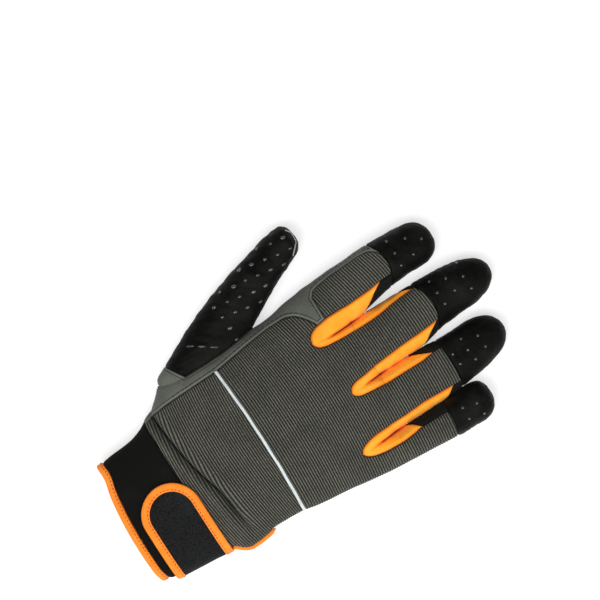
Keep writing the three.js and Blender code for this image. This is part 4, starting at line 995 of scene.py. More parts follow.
def strap_fabric():
    m = Material("strap_fabric", 0.8, sheen=0.04, specular=0.1)
    loops = m.cells(1150)
    fibres = m.noise(2600, 3, 0.7)
    worn = m.noise(60, 3, 0.6)
    m.bump(loops, 0.22, 0.7)
    m.bump(fibres, 0.1, 0.7)
    colour = m.blend(rgb(32, 33, 34), rgb(15, 15, 16), m.span(loops, 0.2, 0.7))
    return m.finish(m.blend(colour, rgb(42, 43, 44), m.times(m.span(worn, 0.5, 0.8), 0.45)))


def piping_film():
    m = Material("piping_cord", 0.38, specular=0.6)
    beads = m.cells(4200)
    waves = m.noise(260, 2, 0.5)
    m.bump(beads, 0.03, 0.6)
    m.bump(waves, 0.15, 0.4)
    return m.finish(m.blend(rgb(190, 199, 200), rgb(221, 227, 226), waves))


def plastic(name, light, dark):
    m = Material(name, 0.5, specular=0.45)
    grain = m.noise(1600, 2, 0.5)
    m.bump(grain, 0.03, 0.4)
    return m.finish(m.blend(light, dark, m.noise(120, 2, 0.5)))


def two_tones(name, light, dark, noise, bump, **settings):
    """A finish of two tones that one noise mixes and raises."""
    m = Material(name, **settings)
    grain = m.noise(*noise)
    m.bump(grain, *bump)
    return m.finish(m.blend(light, dark, grain))


def thread(name, light, dark):
    return two_tones(name, light, dark, (3800, 1, 0.5), (0.08, 0.8), roughness=0.6, sheen=0.2)


# By their names, without the number that Blender adds to a name already in use
MATERIALS = {finish.name.split(".")[0]: finish for finish in (
    ribbed_fabric(), suede(), orange_fabric(), grip_fabric(), neoprene(), binding_tape(), strap_fabric(),
    piping_film(),
    two_tones("black_fabric", rgb(14, 14, 13), rgb(27, 27, 25), (2600, 1, 0.5), (0.1, 0.6),
              roughness=0.8, sheen=0.02, specular=0.06),
    two_tones("grip_rubber", rgb(12, 12, 11), rgb(26, 26, 25), (700, 3, 0.6), (0.12, 0.6),
              roughness=0.55, specular=0.15),
    # The dots' grey is lighter than their black rubber and paints part of their glints: a painted highlight.
    two_tones("glossy_dots", rgb(44, 45, 45), rgb(62, 63, 62), (400, 2, 0.5), (0.04, 0.4),
              roughness=0.26, coat=0.6),
    plastic("tab_plastic", rgb(146, 148, 136), rgb(128, 130, 120)),
    plastic("disc_plastic", rgb(92, 94, 99), rgb(76, 78, 83)),
    thread("orange_thread", rgb(190, 74, 14), rgb(146, 52, 8)),
    thread("black_thread", rgb(26, 26, 26), rgb(12, 12, 12)),
    thread("light_thread", rgb(160, 162, 155), rgb(128, 130, 124)),
)}


def placed(name, data):
    thing = bpy.data.objects.new(name, data)
    bpy.context.scene.collection.objects.link(thing)
    return thing


def add_piece(name, shape, material, nodes=(), attributes=None):
    """An object from places in plan millimetres and their faces, riding on the glove's one body."""
    places, faces = shape
    mesh = bpy.data.meshes.new(name)
    points = (np.asarray(places, float) + ORIGIN) * MM
    mesh.vertices.add(len(points))
    mesh.vertices.foreach_set("co", points.ravel())
    count, sides = faces.shape
    mesh.loops.add(count * sides)
    mesh.loops.foreach_set("vertex_index", faces.ravel())
    mesh.polygons.add(count)
    mesh.polygons.foreach_set("loop_start", np.arange(0, count * sides, sides))
    mesh.polygons.foreach_set("use_smooth", np.full(count, True))
    for key, values in (attributes or {}).items():
        mesh.attributes.new(key, "FLOAT", "POINT").data.foreach_set("value", values.astype(np.float32))
    mesh.update(calc_edges=True)
    mesh.validate()
    mesh.materials.append(MATERIALS[material])
    piece = placed(name, mesh)
    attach(piece, "root")
    if nodes:
        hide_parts(*nodes)
    return piece


def add_dots(name, shape):
    add_piece(name, shape, "glossy_dots")


def add_thread(name, shape, material):
    add_piece(name, shape, material)


def lumps(place, size, seed):
    """Smooth irregular waves between about -1 and 1, of about the given size."""
    turn = np.random.default_rng(seed)
    total = np.zeros(len(place))
    for _ in range(7):
        direction = turn.normal(size=3)
        direction /= np.linalg.norm(direction)
        length = size * turn.uniform(0.7, 1.5)
        total += np.sin(place @ direction * (2 * np.pi / length) + turn.uniform(0, 6.3))
    return total / 3


SEAM_STEP = 0.3


def edge_distance(place, a, b):
    """Distance of each place from the edges that run from a to b, by samples SEAM_STEP apart."""
    lengths = np.linalg.norm(b - a, axis=1)
    counts = np.maximum(1, np.ceil(lengths / SEAM_STEP).astype(int))
    start = np.repeat(a, counts, axis=0)
    reach = np.repeat(b - a, counts, axis=0)
    order = np.arange(counts.sum()) - np.repeat(np.cumsum(counts) - counts, counts)
    samples = start + reach * (order / np.repeat(counts, counts))[:, None]
    tree = KDTree(len(samples))
    for k, sample in enumerate(samples):
        tree.insert(sample, k)
    tree.balance()
    return np.array([tree.find(p)[2] for p in place])


# How far the ribs bend away from the mesh's rows above the piping: x, bend
rib_bend = curve([
    (-62, -7.2), (-50, -4.5), (-35, -2.05), (-20, -0.7), (0, 0), (20, -0.25), (45, -1.8), (60, -3.1),
])
RIB_BEND_REACH = (97, 140)
LOWER_BEND = 0.0019  # and below it, times the squared distance from LOWER_MIDDLE
LOWER_MIDDLE = -4
FINGER_ROWS = (150, 165)
STRAIGHTENED = 0.8  # share of the bow to the hoods that the ribs don't follow


def rib_phase(place, row):
    """Number of the rib at a place and row of the back; whole numbers are crests."""
    x, y = place[:, 0], place[:, 1]
    bow = (y - row - bowed(x, row)) * smooth(row, *FINGER_ROWS)
    upper = (row + STRAIGHTENED * bow - rib_bend(x) * smooth(row, *RIB_BEND_REACH)) / RIB
    lower = (row - LOWER_BEND * (x - LOWER_MIDDLE) ** 2) / LOWER_RIB
    return np.where(row > PIPING_Y - 0.01, upper, lower)


THUMB_FOLDS = [  # across the thumb's root: x, y of the middle, slope, half length, height
    (-66.9, 93, 1.495, 9, 0.48), (-78, 106, 1.1, 7, 0.24), (-74, 99, 1.3, 8, -0.24),
    (-88, 140, 0.5, 6, 0.21), (-84, 131, 0.7, 6, -0.18),
]
FOLD_WIDTH = 1.7


def thumb_fold(place):
    """Small folds that use has left in the thumb's cloth."""
    total = 0 * place[:, 0]
    for x, y, slope, half, height in THUMB_FOLDS:
        along = np.array([1, slope]) / math.hypot(1, slope)
        off = place[:, :2] - [x, y]
        distance = off[:, 1] * along[0] - off[:, 0] * along[1]
        total += height * bell(distance, FOLD_WIDTH) * bell(off @ along, half)
    return total


# Height and size of each finish's lumps, and how far it is drawn in at its seams
RELIEF = {
    "ribbed_fabric": (0.16, 17, 0.85), "suede": (0.14, 12, 0.85), "orange_fabric": (0.14, 7, 0.85),
    "grip_fabric": (0.18, 9, 0.34), "neoprene": (0.15, 20, 0.51), "black_fabric": (0.08, 8, 0.425),
}
DRAWN_IN = 0.75  # how far from a seam
RIB_HEIGHT = 0.45
GROOVE = {"depth": 0.25, "width": 0.4}  # under the suede's topstitch
SMALL_LUMPS = {"height": 0.11, "size": 3.4}  # of the worn grip fabric
LEAF_FULLNESS = 0.35
FLATTENED = 0.7  # share of the relief that is lost deep in a crease


def relief(kind, place, rib, edge, seed):
    """How far a panel's surface stands out from the glove's skin."""
    height, size, drawn = RELIEF[kind]
    out = height * lumps(place, size, seed) - drawn * bell(edge, DRAWN_IN)
    if kind == "ribbed_fabric":
        out += RIB_HEIGHT * (np.cos(np.pi * rib) ** 2 - 0.5) * smooth(edge, 0, 0.8)
    elif kind == "suede":
        out -= GROOVE["depth"] * bell(edge - TOPSTITCH, GROOVE["width"])
    elif kind == "orange_fabric":
        out += LEAF_FULLNESS * smooth(edge, 0, 2.5)
    elif kind == "grip_fabric":
        out += SMALL_LUMPS["height"] * lumps(place, SMALL_LUMPS["size"], seed + 50) + thumb_fold(place)
    return out


SEAM_GAP = 0.05
INNER_GAP = 0.25
CREASE_END = (20, 42)  # where the wrist's crease fades out beside the little finger


def crease_shade_at(x, row):
    """How much painted shade a place of the back gets in the wrist's crease and on the slope below it, from 0
    to 1; the relief is flattened by the same share.
    """
    above = row - fold_line(x)
    slope = 0.45 * smooth(above, -6.0, -3.2) * (1 - smooth(above, 0.2, 1.6))
    return np.maximum(np.minimum(1, 1.4 * bell(above, 1.7)), slope) * (1 - smooth(x, *CREASE_END))


SLIT_DEPTH = (7, 16)  # how far past a leaf's start its slit deepens
SLIT_FADE = 9
SLIT_WIDTH = 0.95


def slit_shade_at(x, y):
    """How deep between two fingers a place lies, from 0 to 1: the share of painted shade in the slit, which
    also flattens the relief there.
    """
    deep = 0 * x
    for gusset in GUSSETS:
        start, end = gusset["leaf"], gusset["web"]
        begun = smooth(y, start + SLIT_DEPTH[0], start + SLIT_DEPTH[1])
        reach = begun * (1 - smooth(y, end, end + SLIT_FADE))
        deep = np.maximum(deep, reach * bell(x - gusset["line"](y), SLIT_WIDTH))
    return deep


def inward_of(place, border):
    """The way into the panel at its border, given as triangles whose first two corners are on the edge."""
    a, b, third = (place[border[:, k]] for k in range(3))
    along = unit(b - a)
    into = third - a
    into = unit(into - along * np.sum(into * along, axis=1)[:, None])
    inward = np.zeros_like(place)
    np.add.at(inward, border[:, 0], into)
    np.add.at(inward, border[:, 1], into)
    return inward / np.maximum(0.9, np.sum(inward ** 2, axis=1) / 2)[:, None]


SURFACES = {}  # outer surface of each panel: places and faces


def add_panel(name, thickness, kind, seed):
    """One piece of the skin as a closed wall with its relief and rounded seams."""
    faces = skin.faces[skin.labels == CODE[name]]
    used, corner = np.unique(faces, return_inverse=True)
    faces = corner.reshape(-1, 3)
    place, row, normal = skin.place[used], skin.row[used], skin.normal[used]
    n = len(used)
    edges = np.concatenate([faces[:, [0, 1, 2]], faces[:, [1, 2, 0]], faces[:, [2, 0, 1]]])
    key = edges[:, 0] * n + edges[:, 1]
    border = edges[~np.isin(key, edges[:, 1] * n + edges[:, 0])]
    inward = inward_of(place, border)
    edge = edge_distance(place, place[border[:, 0]], place[border[:, 1]])
    rib = rib_phase(place, row)
    # crease: the share of painted shade in the wrist's crease and deep in the slits, which also flattens the
    # relief there.
    crease = np.maximum(crease_shade_at(place[:, 0], row), slit_shade_at(place[:, 0], place[:, 1]))
    height = relief(kind, place, rib, edge, seed) * (1 - FLATTENED * crease)
    outer = place + normal * height[:, None] + inward * SEAM_GAP
    SURFACES[name] = (outer, faces)
    # The wall is thinner where the skin bends sharply
    turned = face_normals(place, faces)
    weight = corner_sum(faces, np.linalg.norm(turned, axis=1), n)
    straight = np.linalg.norm(corner_sum(faces, turned, n), axis=1) / np.maximum(1e-9, weight)
    wall = thickness * clamp(straight, 0, 1) ** 3
    inner = place - normal * wall[:, None] + inward * INNER_GAP
    walls = np.concatenate([border[:, [1, 0, 0]] + [0, 0, n], border[:, [1, 0, 1]] + [0, n, n]])
    every = np.concatenate([faces, faces[:, [0, 2, 1]] + n, walls])
    # Of faces that coincide at a seam, the first stays
    _, first = np.unique(np.sort(every, axis=1), axis=0, return_index=True)
    shape = np.concatenate([outer, inner]), every[np.sort(first)]
    values = {"rib": rib, "edge": edge, "crease": crease}
    add_piece(name + "_sewn", shape, kind, nodes=(name,),
              attributes={key: np.concatenate([v, v]) for key, v in values.items()})


FINISHES = {  # of the panels, by the start of their names
    "back": "ribbed_fabric", "index_back": "ribbed_fabric", "side": "suede", "palm": "suede",
    "cuff": "neoprene", "orange": "orange_fabric", "black": "black_fabric", "hood": "grip_fabric",
    "thumb_back": "grip_fabric", "thumb_palm": "suede", "thumb_inner": "black_fabric",
}
THICKNESS = {"cuff": NEOPRENE, "hood": HOOD}
for seed, name in enumerate(NODES):
    kind = next(kind for start, kind in FINISHES.items() if name.startswith(start))
    add_panel(name, THICKNESS.get(name.split("_")[0], CLOTH), kind, seed)


# Sweeps and plates
def strip_at(x, y):
    """The finger whose strip of the hand holds a plan place."""
    for finger in FINGERS[:-1]:
        if x <= finger.side(1, y):
            return finger
    return FINGERS[-1]


def surface(x, y, over):
    """Height of the hand's skin over or under plan places below the webs."""
    x, y = np.broadcast_arrays(np.asarray(x, float), np.asarray(y, float))
    height = back_height if over else under_height
    heights = [height(strip_at(a, b), a, b) for a, b in zip(x.ravel(), y.ravel())]
    return np.reshape(heights, x.shape)


def swept(grid, closed_path):
    """The solid between the sections of a sweep: grid[i, k] is point k of section i."""
    count, sides = grid.shape[:2]
    i = np.arange(count if closed_path else count - 1)[:, None]
    k = np.arange(sides)[None, :]
    own, following, beside_k = i * sides, (i + 1) % count * sides, (k + 1) % sides
    faces = two_triangles(own + k, own + beside_k, following + beside_k, following + k)
    if not closed_path:
        fan = np.arange(1, sides - 1)
        end = (count - 1) * sides
        faces = np.concatenate([faces, np.stack([0 * fan, fan + 1, fan], -1),
                                np.stack([0 * fan + end, fan + end, fan + 1 + end], -1)])
    return facing_out(grid.reshape(-1, 3), faces)


def facing_out(places, faces):
    """The solid with its faces turned outwards."""
    corners = places[faces]
    volume = np.sum(corners[:, 0] * np.cross(corners[:, 1], corners[:, 2]))
    return places, faces if volume > 0 else faces[:, ::-1]


def ring_section(radius, sides):
    angle = np.arange(sides) * 2 * np.pi / sides
    return np.stack([radius * np.cos(angle), radius * np.sin(angle)], -1)


def piping():
    """The cord in the seam across the back, a little uneven as sewn cord is."""
    x = mix(side_seam(PIPING_Y) - 0.1, hand_right(PIPING_Y) - 0.25, np.sin(np.linspace(0, np.pi / 2, 120)))
    z = surface(x, PIPING_Y, True) + PIPING_RADIUS * 0.75
    spine = np.stack([x, PIPING_Y + bowed(x, PIPING_Y), z], -1)
    spine += 0.1 * np.stack([0 * x, lumps(spine, 16, 71), lumps(spine, 12, 72)], -1)
    radius = PIPING_RADIUS * (1 + 0.05 * lumps(spine, 7, 73))
    section = np.array([[0, u, v] for u, v in ring_section(1, 14)])
    grid = spine[:, None, :] + radius[:, None, None] * section
    add_piece("back_piping", swept(grid, False), "piping_cord", nodes=("piping",))


piping()


# Cuff edge: orange tape folded round the wall's end
CUFF_SAMPLES = 150


def cuff_loop():
    """Places round the cuff's edge, and the outward directions there."""
    left, right = hand_left(0), hand_right(0)
    t = (1 - np.cos(np.linspace(0, np.pi, CUFF_SAMPLES + 1))) / 2

    def side(x, over):
        return np.stack([x, cuff_curve(x, 0), surface(x, 0, over)], -1)
    loop = np.concatenate([side(mix(left, right, t), True), side(mix(right, left, t)[1:-1], False)])
    step = np.roll(loop, -1, 0) - np.roll(loop, 1, 0)
    return loop, unit(np.stack([-step[:, 2], 0 * step[:, 0], step[:, 0]], -1))


TAPE_SECTION = [  # across the wall, along the hand
    (0.42, 2.2), (0.5, 1.2), (0.55, 0.1), (0.5, -0.7), (0.2, -1.3), (-0.5, -1.65), (-1.5, -1.75),
    (-2.5, -1.6), (-3.1, -1.2), (-3.4, -0.5), (-3.4, 1.2), (-3.3, 2.2), (-2.9, 2.6), (-0.4, 2.65), (0.2, 2.5),
]


def cuff_binding():
    loop, out = cuff_loop()
    wave = 0.12 * lumps(loop, 11, 81)
    grid = np.array([[p + o * (u + w) + [0, v + 0.35 * w, 0] for u, v in TAPE_SECTION]
                     for p, o, w in zip(loop, out, wave)])
    add_piece("cuff_tape", swept(grid, True), "binding_tape", nodes=("cuff_binding",))


cuff_binding()

# Strap: places are a run s round the wrist's side, and y
STRAP_MIDDLE = (STRAP_LOW + STRAP_HIGH) / 2
STRAP_RADIUS = (STRAP_HIGH - STRAP_LOW) / 2
STRAP_SAMPLES = 400


def strap_run():
    """The strap's middle line: runs, shares of the half width, outward ways, run at the wrist's side."""
    edge = hand_right(STRAP_MIDDLE)
    t = np.linspace(0, 1, STRAP_SAMPLES)
    over = mix(STRAP_LEFT, edge, np.sin(t * np.pi / 2))
    below = mix(edge, 0, 1 - np.cos(t * np.pi / 2))[1:]
    z = np.concatenate([surface(over, STRAP_MIDDLE, True), surface(below, STRAP_MIDDLE, False)])
    x = np.concatenate([over, below])
    s = run_length(np.stack([x, z], -1))
    return s, x / edge, unit(np.stack([-np.gradient(z), np.gradient(x)], -1)), s[len(over) - 1]


RUN_S, RUN_SHARE, RUN_OUT, RUN_TURN = strap_run()


def strap_place(s, y, lift):
    """Places at a run, a row and a lift over the cuff."""
    s, y, lift = np.broadcast_arrays(*(np.asarray(v, float) for v in (s, y, lift)))
    x = np.clip(np.interp(s, RUN_S, RUN_SHARE), -1, 1) * hand_right(y)
    out = np.stack([np.interp(s, RUN_S, RUN_OUT[:, 0]), 0 * s, np.interp(s, RUN_S, RUN_OUT[:, 1])], -1)
    z = np.where(s <= RUN_TURN, surface(x, y, True), surface(x, y, False))
    return np.stack([x, y, z], -1) + out * lift[..., None]


STRAP_CELLS = 84
STRAP_BEND = 60
STRAP_ROWS = 40
STRAP_TOP = STRAP_LIFT + STRAP_THICKNESS


def strap_outline(inset):
    """The strap's outline moved inwards: down one side, round the end and up the other."""
    r = STRAP_RADIUS - inset
    straight = np.linspace(STRAP_LENGTH, STRAP_RADIUS, STRAP_CELLS + 1)
    turn = np.linspace(0, np.pi, STRAP_BEND + 1)[1:-1]
    return np.concatenate([
        np.stack([straight, np.full_like(straight, STRAP_MIDDLE + r)], -1),
        np.stack([STRAP_RADIUS - r * np.sin(turn), STRAP_MIDDLE + r * np.cos(turn)], -1),
        np.stack([straight[::-1], np.full_like(straight, STRAP_MIDDLE - r)], -1)])


STRAP_TAPE = [  # inset from the strap's edge, lift over the cuff
    (5.0, STRAP_TOP - 0.1), (4.95, STRAP_TOP + 0.2), (4.6, STRAP_TOP + 0.4), (3.4, STRAP_TOP + 0.5),
    (1.8, STRAP_TOP + 0.5), (0.8, STRAP_TOP + 0.35), (0.2, STRAP_TOP - 0.05), (0.0, STRAP_TOP - 0.7),
    (0.1, STRAP_LIFT + 0.4), (0.6, STRAP_LIFT + 0.05), (2.5, STRAP_LIFT), (5.0, STRAP_LIFT),
]


def strap():
    grid = np.stack([strap_place(*strap_outline(inset).T, lift) for inset, lift in STRAP_TAPE], 1)
    add_piece("strap_tape", swept(grid, False), "binding_tape", nodes=("strap_binding",))
    outline = strap_outline(BINDING_WIDTH - 0.1)
    half = STRAP_CELLS + STRAP_BEND // 2
    upper, lower = outline[:half + 1], outline[::-1][:half + 1]
    y = mix(upper[:, 1:], lower[:, 1:], np.linspace(0, 1, STRAP_ROWS))
    top, bottom = (strap_place(upper[:, :1], y, lift) for lift in (STRAP_TOP, STRAP_LIFT + 0.1))
    loop = np.concatenate([top, bottom[:, ::-1]], 1)
    add_piece("strap_field", swept(loop[:-1], False), "strap_fabric", nodes=("strap",))


strap()

# Orange edge of the wrist slit
SLIT_REACH = (43.5, 70.5)
FLAP_TAPE = {"across": 1.35, "high": 1.5, "outside": 0.85}


def flap_binding():
    y = np.linspace(SLIT_REACH[0] - 1.5, SLIT_REACH[1], 70)
    x = hand_right(y) + FLAP_TAPE["outside"]
    spine = np.stack([x, y + bowed(x, y), rim(y) + 0.4], -1)
    ahead = np.gradient(spine, axis=0)
    side = unit(np.stack([ahead[:, 1], -ahead[:, 0], 0 * x], -1))
    taper = clamp(np.minimum(2 * (y - y[0]), y[-1] - y) / 3, 0.25, 1) ** 0.5
    u, v = ring_section(1, 16).T[:, None, :, None]
    section = FLAP_TAPE["across"] * u * side[:, None] + FLAP_TAPE["high"] * v * np.array([0, 0, 1])
    grid = spine[:, None] + taper[:, None, None] * section
    add_piece("flap_tape", swept(grid, False), "binding_tape", nodes=("flap_binding",))


flap_binding()


# Flat pieces under the palm
def rounded_outline(corners, count):
    """A closed centripetal Catmull-Rom curve through the corners."""
    p = np.array(corners, float)
    result = []
    per = max(2, round(count / len(p)))
    for k in range(len(p)):
        q = [p[(k + j - 1) % len(p)] for j in range(4)]
        knots = [0.0]
        for a, b in zip(q, q[1:]):
            knots.append(knots[-1] + math.dist(a, b) ** 0.5)
        for t in np.linspace(knots[1], knots[2], per, endpoint=False):
            a = [mix(q[j], q[j + 1], (t - knots[j]) / (knots[j + 1] - knots[j])) for j in range(3)]
            b = [mix(a[j], a[j + 1], (t - knots[j]) / (knots[j + 2] - knots[j])) for j in range(2)]
            result.append(mix(b[0], b[1], (t - knots[1]) / (knots[2] - knots[1])))
    return np.array(result)


def oval(x, y, rx, ry, count):
    angle = np.arange(count) * 2 * np.pi / count
    return np.stack([x + rx * np.cos(angle), y + ry * np.sin(angle)], -1)


def inset_outline(outline, inset):
    """An outline moved inwards; it turns anticlockwise."""
    step = np.roll(outline, -1, 0) - np.roll(outline, 1, 0)
    return outline + inset * unit(np.stack([-step[:, 1], step[:, 0]], -1))


def anticlockwise(outline):
    x, y = outline.T
    return outline if np.sum(x * np.roll(y, -1) - y * np.roll(x, -1)) > 0 else outline[::-1]


def plate(outline, profile, holes=()):
    """A flat solid: profile gives pairs of inset and z from the bottom's flat to the top's flat."""
    loops = [anticlockwise(outline), *[anticlockwise(hole)[::-1] for hole in holes]]
    places, faces, rims, count = [], [], [], 0
    for loop in loops:
        grid = np.stack([at_height(inset_outline(loop, inset), z) for inset, z in profile], 1)
        n, sides = grid.shape[:2]
        rim_ids = count + np.arange(n) * sides
        own, following = rim_ids[:, None], np.roll(rim_ids, -1)[:, None]
        k = np.arange(sides - 1)
        faces.append(two_triangles(own + k, following + k, following + k + 1, own + k + 1))
        places.append(grid.reshape(-1, 3))
        rims.append(rim_ids)
        count += n * sides
    places = np.concatenate(places)
    for level, turned in ((0, True), (len(profile) - 1, False)):
        ids = np.concatenate([r + level for r in rims])
        flats = [[Vector(places[j + level]) for j in r] for r in rims]
        caps = ids[np.array(tessellate_polygon(flats))]
        up = face_normals(places, caps)[:, 2] > 0
        faces.append(np.where((up != turned)[:, None], caps, caps[:, ::-1]))
    return places, np.concatenate(faces)


PADS = {
    "thenar_pad": [
        (-33, 135), (-43, 128), (-50, 116), (-51.5, 103), (-48, 88), (-41, 75), (-32, 67.5), (-22, 66.5),
        (-14, 73), (-10.5, 85), (-11.5, 98), (-15.5, 112), (-21, 124), (-26, 132)],
    "hypothenar_pad": [
        (-25, 138), (0, 139), (24, 138.5), (47.5, 137.5), (47.5, 128), (44.5, 108), (42, 92), (41, 76),
        (38, 62), (28, 57.5), (16, 60), (6, 71), (-3, 84), (-8, 98), (-12.5, 112), (-18, 124), (-25, 134)],
    "knuckle_pad": [
        (-30, 144), (0, 143.5), (25, 143), (47.5, 141.5), (49.5, 150), (50.5, 165), (50.5, 176), (46.5, 180),
        (43, 176), (41.8, 166), (37, 155), (31.5, 166), (29.5, 184), (20, 190.5), (10, 186), (8, 174),
        (3, 165.5), (-2.5, 174), (-6, 192), (-16, 200), (-25.5, 193), (-27.5, 178), (-33, 167), (-37, 158),
        (-36, 149)],
    "index_pad": [
        (-56.5, 132), (-46, 131), (-40.5, 138), (-40.5, 150), (-41.5, 165), (-42, 182), (-44.5, 194),
        (-50, 198.5), (-56.5, 195), (-59, 184), (-59.5, 165), (-58, 148), (-57.5, 138)],
}
PAD_PROFILE = [(0.9, 0.38), (0.45, 0.45), (0.12, 0.75), (0, 1.1), (0, 1.8)]
PAD_OUTLINES = {name: anticlockwise(rounded_outline(corners, 240)) for name, corners in PADS.items()}


def pads():
    for name, outline in PAD_OUTLINES.items():
        piece = add_piece(name + "_rubber", plate(outline, PAD_PROFILE), "grip_rubber", nodes=(name,))


pads()


# Dots, welts and stitches
def joined(grids):
    """Many small solids in one mesh: grids[n, i, k] is point k of section i of solid n."""
    _, faces = swept(grids[0], False)
    size = grids.shape[1] * grids.shape[2]
    every = faces[None] + (np.arange(len(grids)) * size)[:, None, None]
    return grids.reshape(-1, 3), every.reshape(-1, 3)


def panel_tree(name):
    """A search tree of a panel's outer surface."""
    places, faces = SURFACES[name]
    return BVHTree.FromPolygons(places.tolist(), faces.tolist())


FAR = 60
FACING = 0.2  # least share by which a surface has to face the ray


def dropped(tree, plan, over):
    """Places and outward directions where plan places meet a surface from above or from below."""
    way = -1 if over else 1
    hits = [tree.ray_cast(Vector((x, y, -way * FAR)), Vector((0, 0, way)))[:2] for x, y in plan]
    hits = np.array([hit for hit in hits if hit[0] is not None and hit[1].z * way < -FACING])
    return hits[:, 0], hits[:, 1]


DOT_PROFILE = [(1.0, -0.6), (1.0, 0.1), (0.86, 0.62), (0.5, 0.95)]  # share of the radius, of the height


def dots(places, outward, radius, height, sides, length=1.0, way=(0.0, 1.0, 0.0)):
    """Raised rubber dots; length is how much longer they are along a way than across it."""
    n = len(places)
    radius = np.broadcast_to(radius, n)[:, None, None, None]
    ahead = np.tile(way, (n, 1))
    ahead = unit(ahead - outward * np.sum(ahead * outward, axis=1)[:, None])
    side = np.cross(ahead, outward)
    ring = ring_section(1, sides)
    spread = ring[:, :1] * side[:, None, :] + length * ring[:, 1:] * ahead[:, None, :]
    share, rise = (np.array(v)[None, :, None, None] for v in zip(*DOT_PROFILE))
    raised = rise * height * outward[:, None, None, :]
    return joined(places[:, None, None, :] + radius * share * spread[:, None] + raised)


def staggered(low, high, across, along, turn, jitter):
    """Plan places in staggered rows over a rectangle."""
    rows = np.arange(low[1], high[1], along)
    x = np.arange(low[0], high[0], across)
    places = np.array([(a + (j % 2) * across / 2, b) for j, b in enumerate(rows) for a in x])
    return places + turn.uniform(-jitter, jitter, places.shape)


def inside(outline, places):
    """Which plan places lie inside a closed outline."""
    (ax, ay), (bx, by) = outline.T, np.roll(outline, -1, 0).T
    x, y = places[:, :1], places[:, 1:]
    at = ax + (y - ay) * (bx - ax) / np.where(ay == by, 1, by - ay)
    return np.sum(((ay > y) != (by > y)) & (x < at), axis=1) % 2 == 1


# Where the sparse glossy dots lie on the backs of the hoods and of the thumb
HOOD_DOTS = {
    "index": [(-62, 218.1), (-57.7, 228.4), (-53.6, 218.6), (-47.1, 227.6), (-45.3, 218),
              (-52.4, 236.4)],
    "middle": [(-28.6, 227), (-20.5, 227.4), (-12.6, 227.9), (-25, 236.2), (-16.2, 237), (-20.6, 245.6),
               (-29.2, 246.9), (-12, 246)],
    "ring": [(15.1, 216), (22.2, 216.7), (9.9, 225), (17.6, 224.9), (24.7, 226), (13.6, 234.4),
             (21.4, 234.8)],
    "little": [(44.8, 204.2), (52.5, 204.1), (54.6, 213.4), (47, 212.8)],
}
HOOD_DOT = {"radius": 0.9, "height": 0.45, "sides": 10}
# A lattice of dots on the thumb: a corner, its two steps, how many each way, the rows that it keeps
THUMB_DOTS = {
    "start": (-83.5, 151.7), "along": (-1.3, -8.1), "across": (6.2, -7.7), "reach": 9, "rows": (109, 168),
}
THUMB_DOT = {"height": 0.55, "sides": 10, "length": 1.5, "way": (0.16, 0.99, 0.0)}
THUMB_STEEPEST = 0.45  # the dots end where the cloth faces up by less than this share
LONG_DOTS = [(-70.8, 87.1), (-67.2, 92.9), (-62.9, 99)]  # pulled long by a fold at the thumb's root
LONG_DOT = {"radius": 0.62, "height": 0.45, "sides": 12, "length": 4.2, "way": (0.556, 0.831, 0.0)}
TIP_DOTS = {"across": 3.7, "along": 3.3, "radius": 0.95}  # under the fingertips
TIP_DOT = {"height": 0.36, "sides": 8, "length": 1.2}
TIP_STEEPEST = 0.93
TIP_LOW, TIP_HIGH = (3.5, 4), (-3, -3.5)  # from the finger's left and the hood's seam, right and tip
PAD_DOTS = {"across": 3.5, "along": 3.1, "radius": 1.0, "margin": 2.1}
PAD_DOT = {"height": 0.34, "sides": 8, "length": 1.3}


def finger_dots(finger, turn):
    tree = panel_tree("hood_" + finger.name)
    add_dots(f"hood_{finger.name}_dots", dots(*dropped(tree, HOOD_DOTS[finger.name], True), **HOOD_DOT))
    low = (finger.side(0, finger.hood) + TIP_LOW[0], finger.hood + TIP_LOW[1])
    high = (finger.side(1, finger.hood) + TIP_HIGH[0], finger.tip + TIP_HIGH[1])
    plan = staggered(low, high, TIP_DOTS["across"], TIP_DOTS["along"], turn, 0.12)
    places, outward = dropped(tree, plan, False)
    level = outward[:, 2] < -TIP_STEEPEST
    radius = TIP_DOTS["radius"] * turn.uniform(0.85, 1.1, level.sum())
    add_dots(f"tip_{finger.name}_dots", dots(places[level], outward[level], radius, **TIP_DOT))


def thumb_dots(turn):
    tree = panel_tree("thumb_back")
    start, along, across = (np.array(THUMB_DOTS[key]) for key in ("start", "along", "across"))
    steps = np.arange(-THUMB_DOTS["reach"], THUMB_DOTS["reach"] + 1)
    i, j = (v.ravel()[:, None] for v in np.meshgrid(steps, steps))
    plan = start + i * along + j * across
    plan = plan + turn.uniform(-0.5, 0.5, plan.shape)
    low, high = THUMB_DOTS["rows"]
    places, outward = dropped(tree, plan[(plan[:, 1] > low) & (plan[:, 1] < high)], True)
    level = outward[:, 2] > THUMB_STEEPEST
    radius = turn.uniform(0.65, 1.15, level.sum())
    add_dots("thumb_dots", dots(places[level], outward[level], radius, **THUMB_DOT))
    add_dots("thumb_long_dots", dots(*dropped(tree, LONG_DOTS, True), **LONG_DOT))


def pad_dots(turn):
    for name, outline in PAD_OUTLINES.items():
        plan = staggered(outline.min(0), outline.max(0), PAD_DOTS["across"], PAD_DOTS["along"], turn, 0.15)
        plan = plan[inside(inset_outline(outline, PAD_DOTS["margin"]), plan)]
        radius = PAD_DOTS["radius"] * turn.uniform(0.8, 1.15, len(plan))
        down = np.tile([0.0, 0.0, -1.0], (len(plan), 1))
        add_dots(name + "_dots", dots(at_height(plan, PAD_PROFILE[0][1]), down, radius, **PAD_DOT))


grip_turn = np.random.default_rng(5)
for finger in FINGERS:
    finger_dots(finger, grip_turn)
thumb_dots(grip_turn)
pad_dots(np.random.default_rng(6))


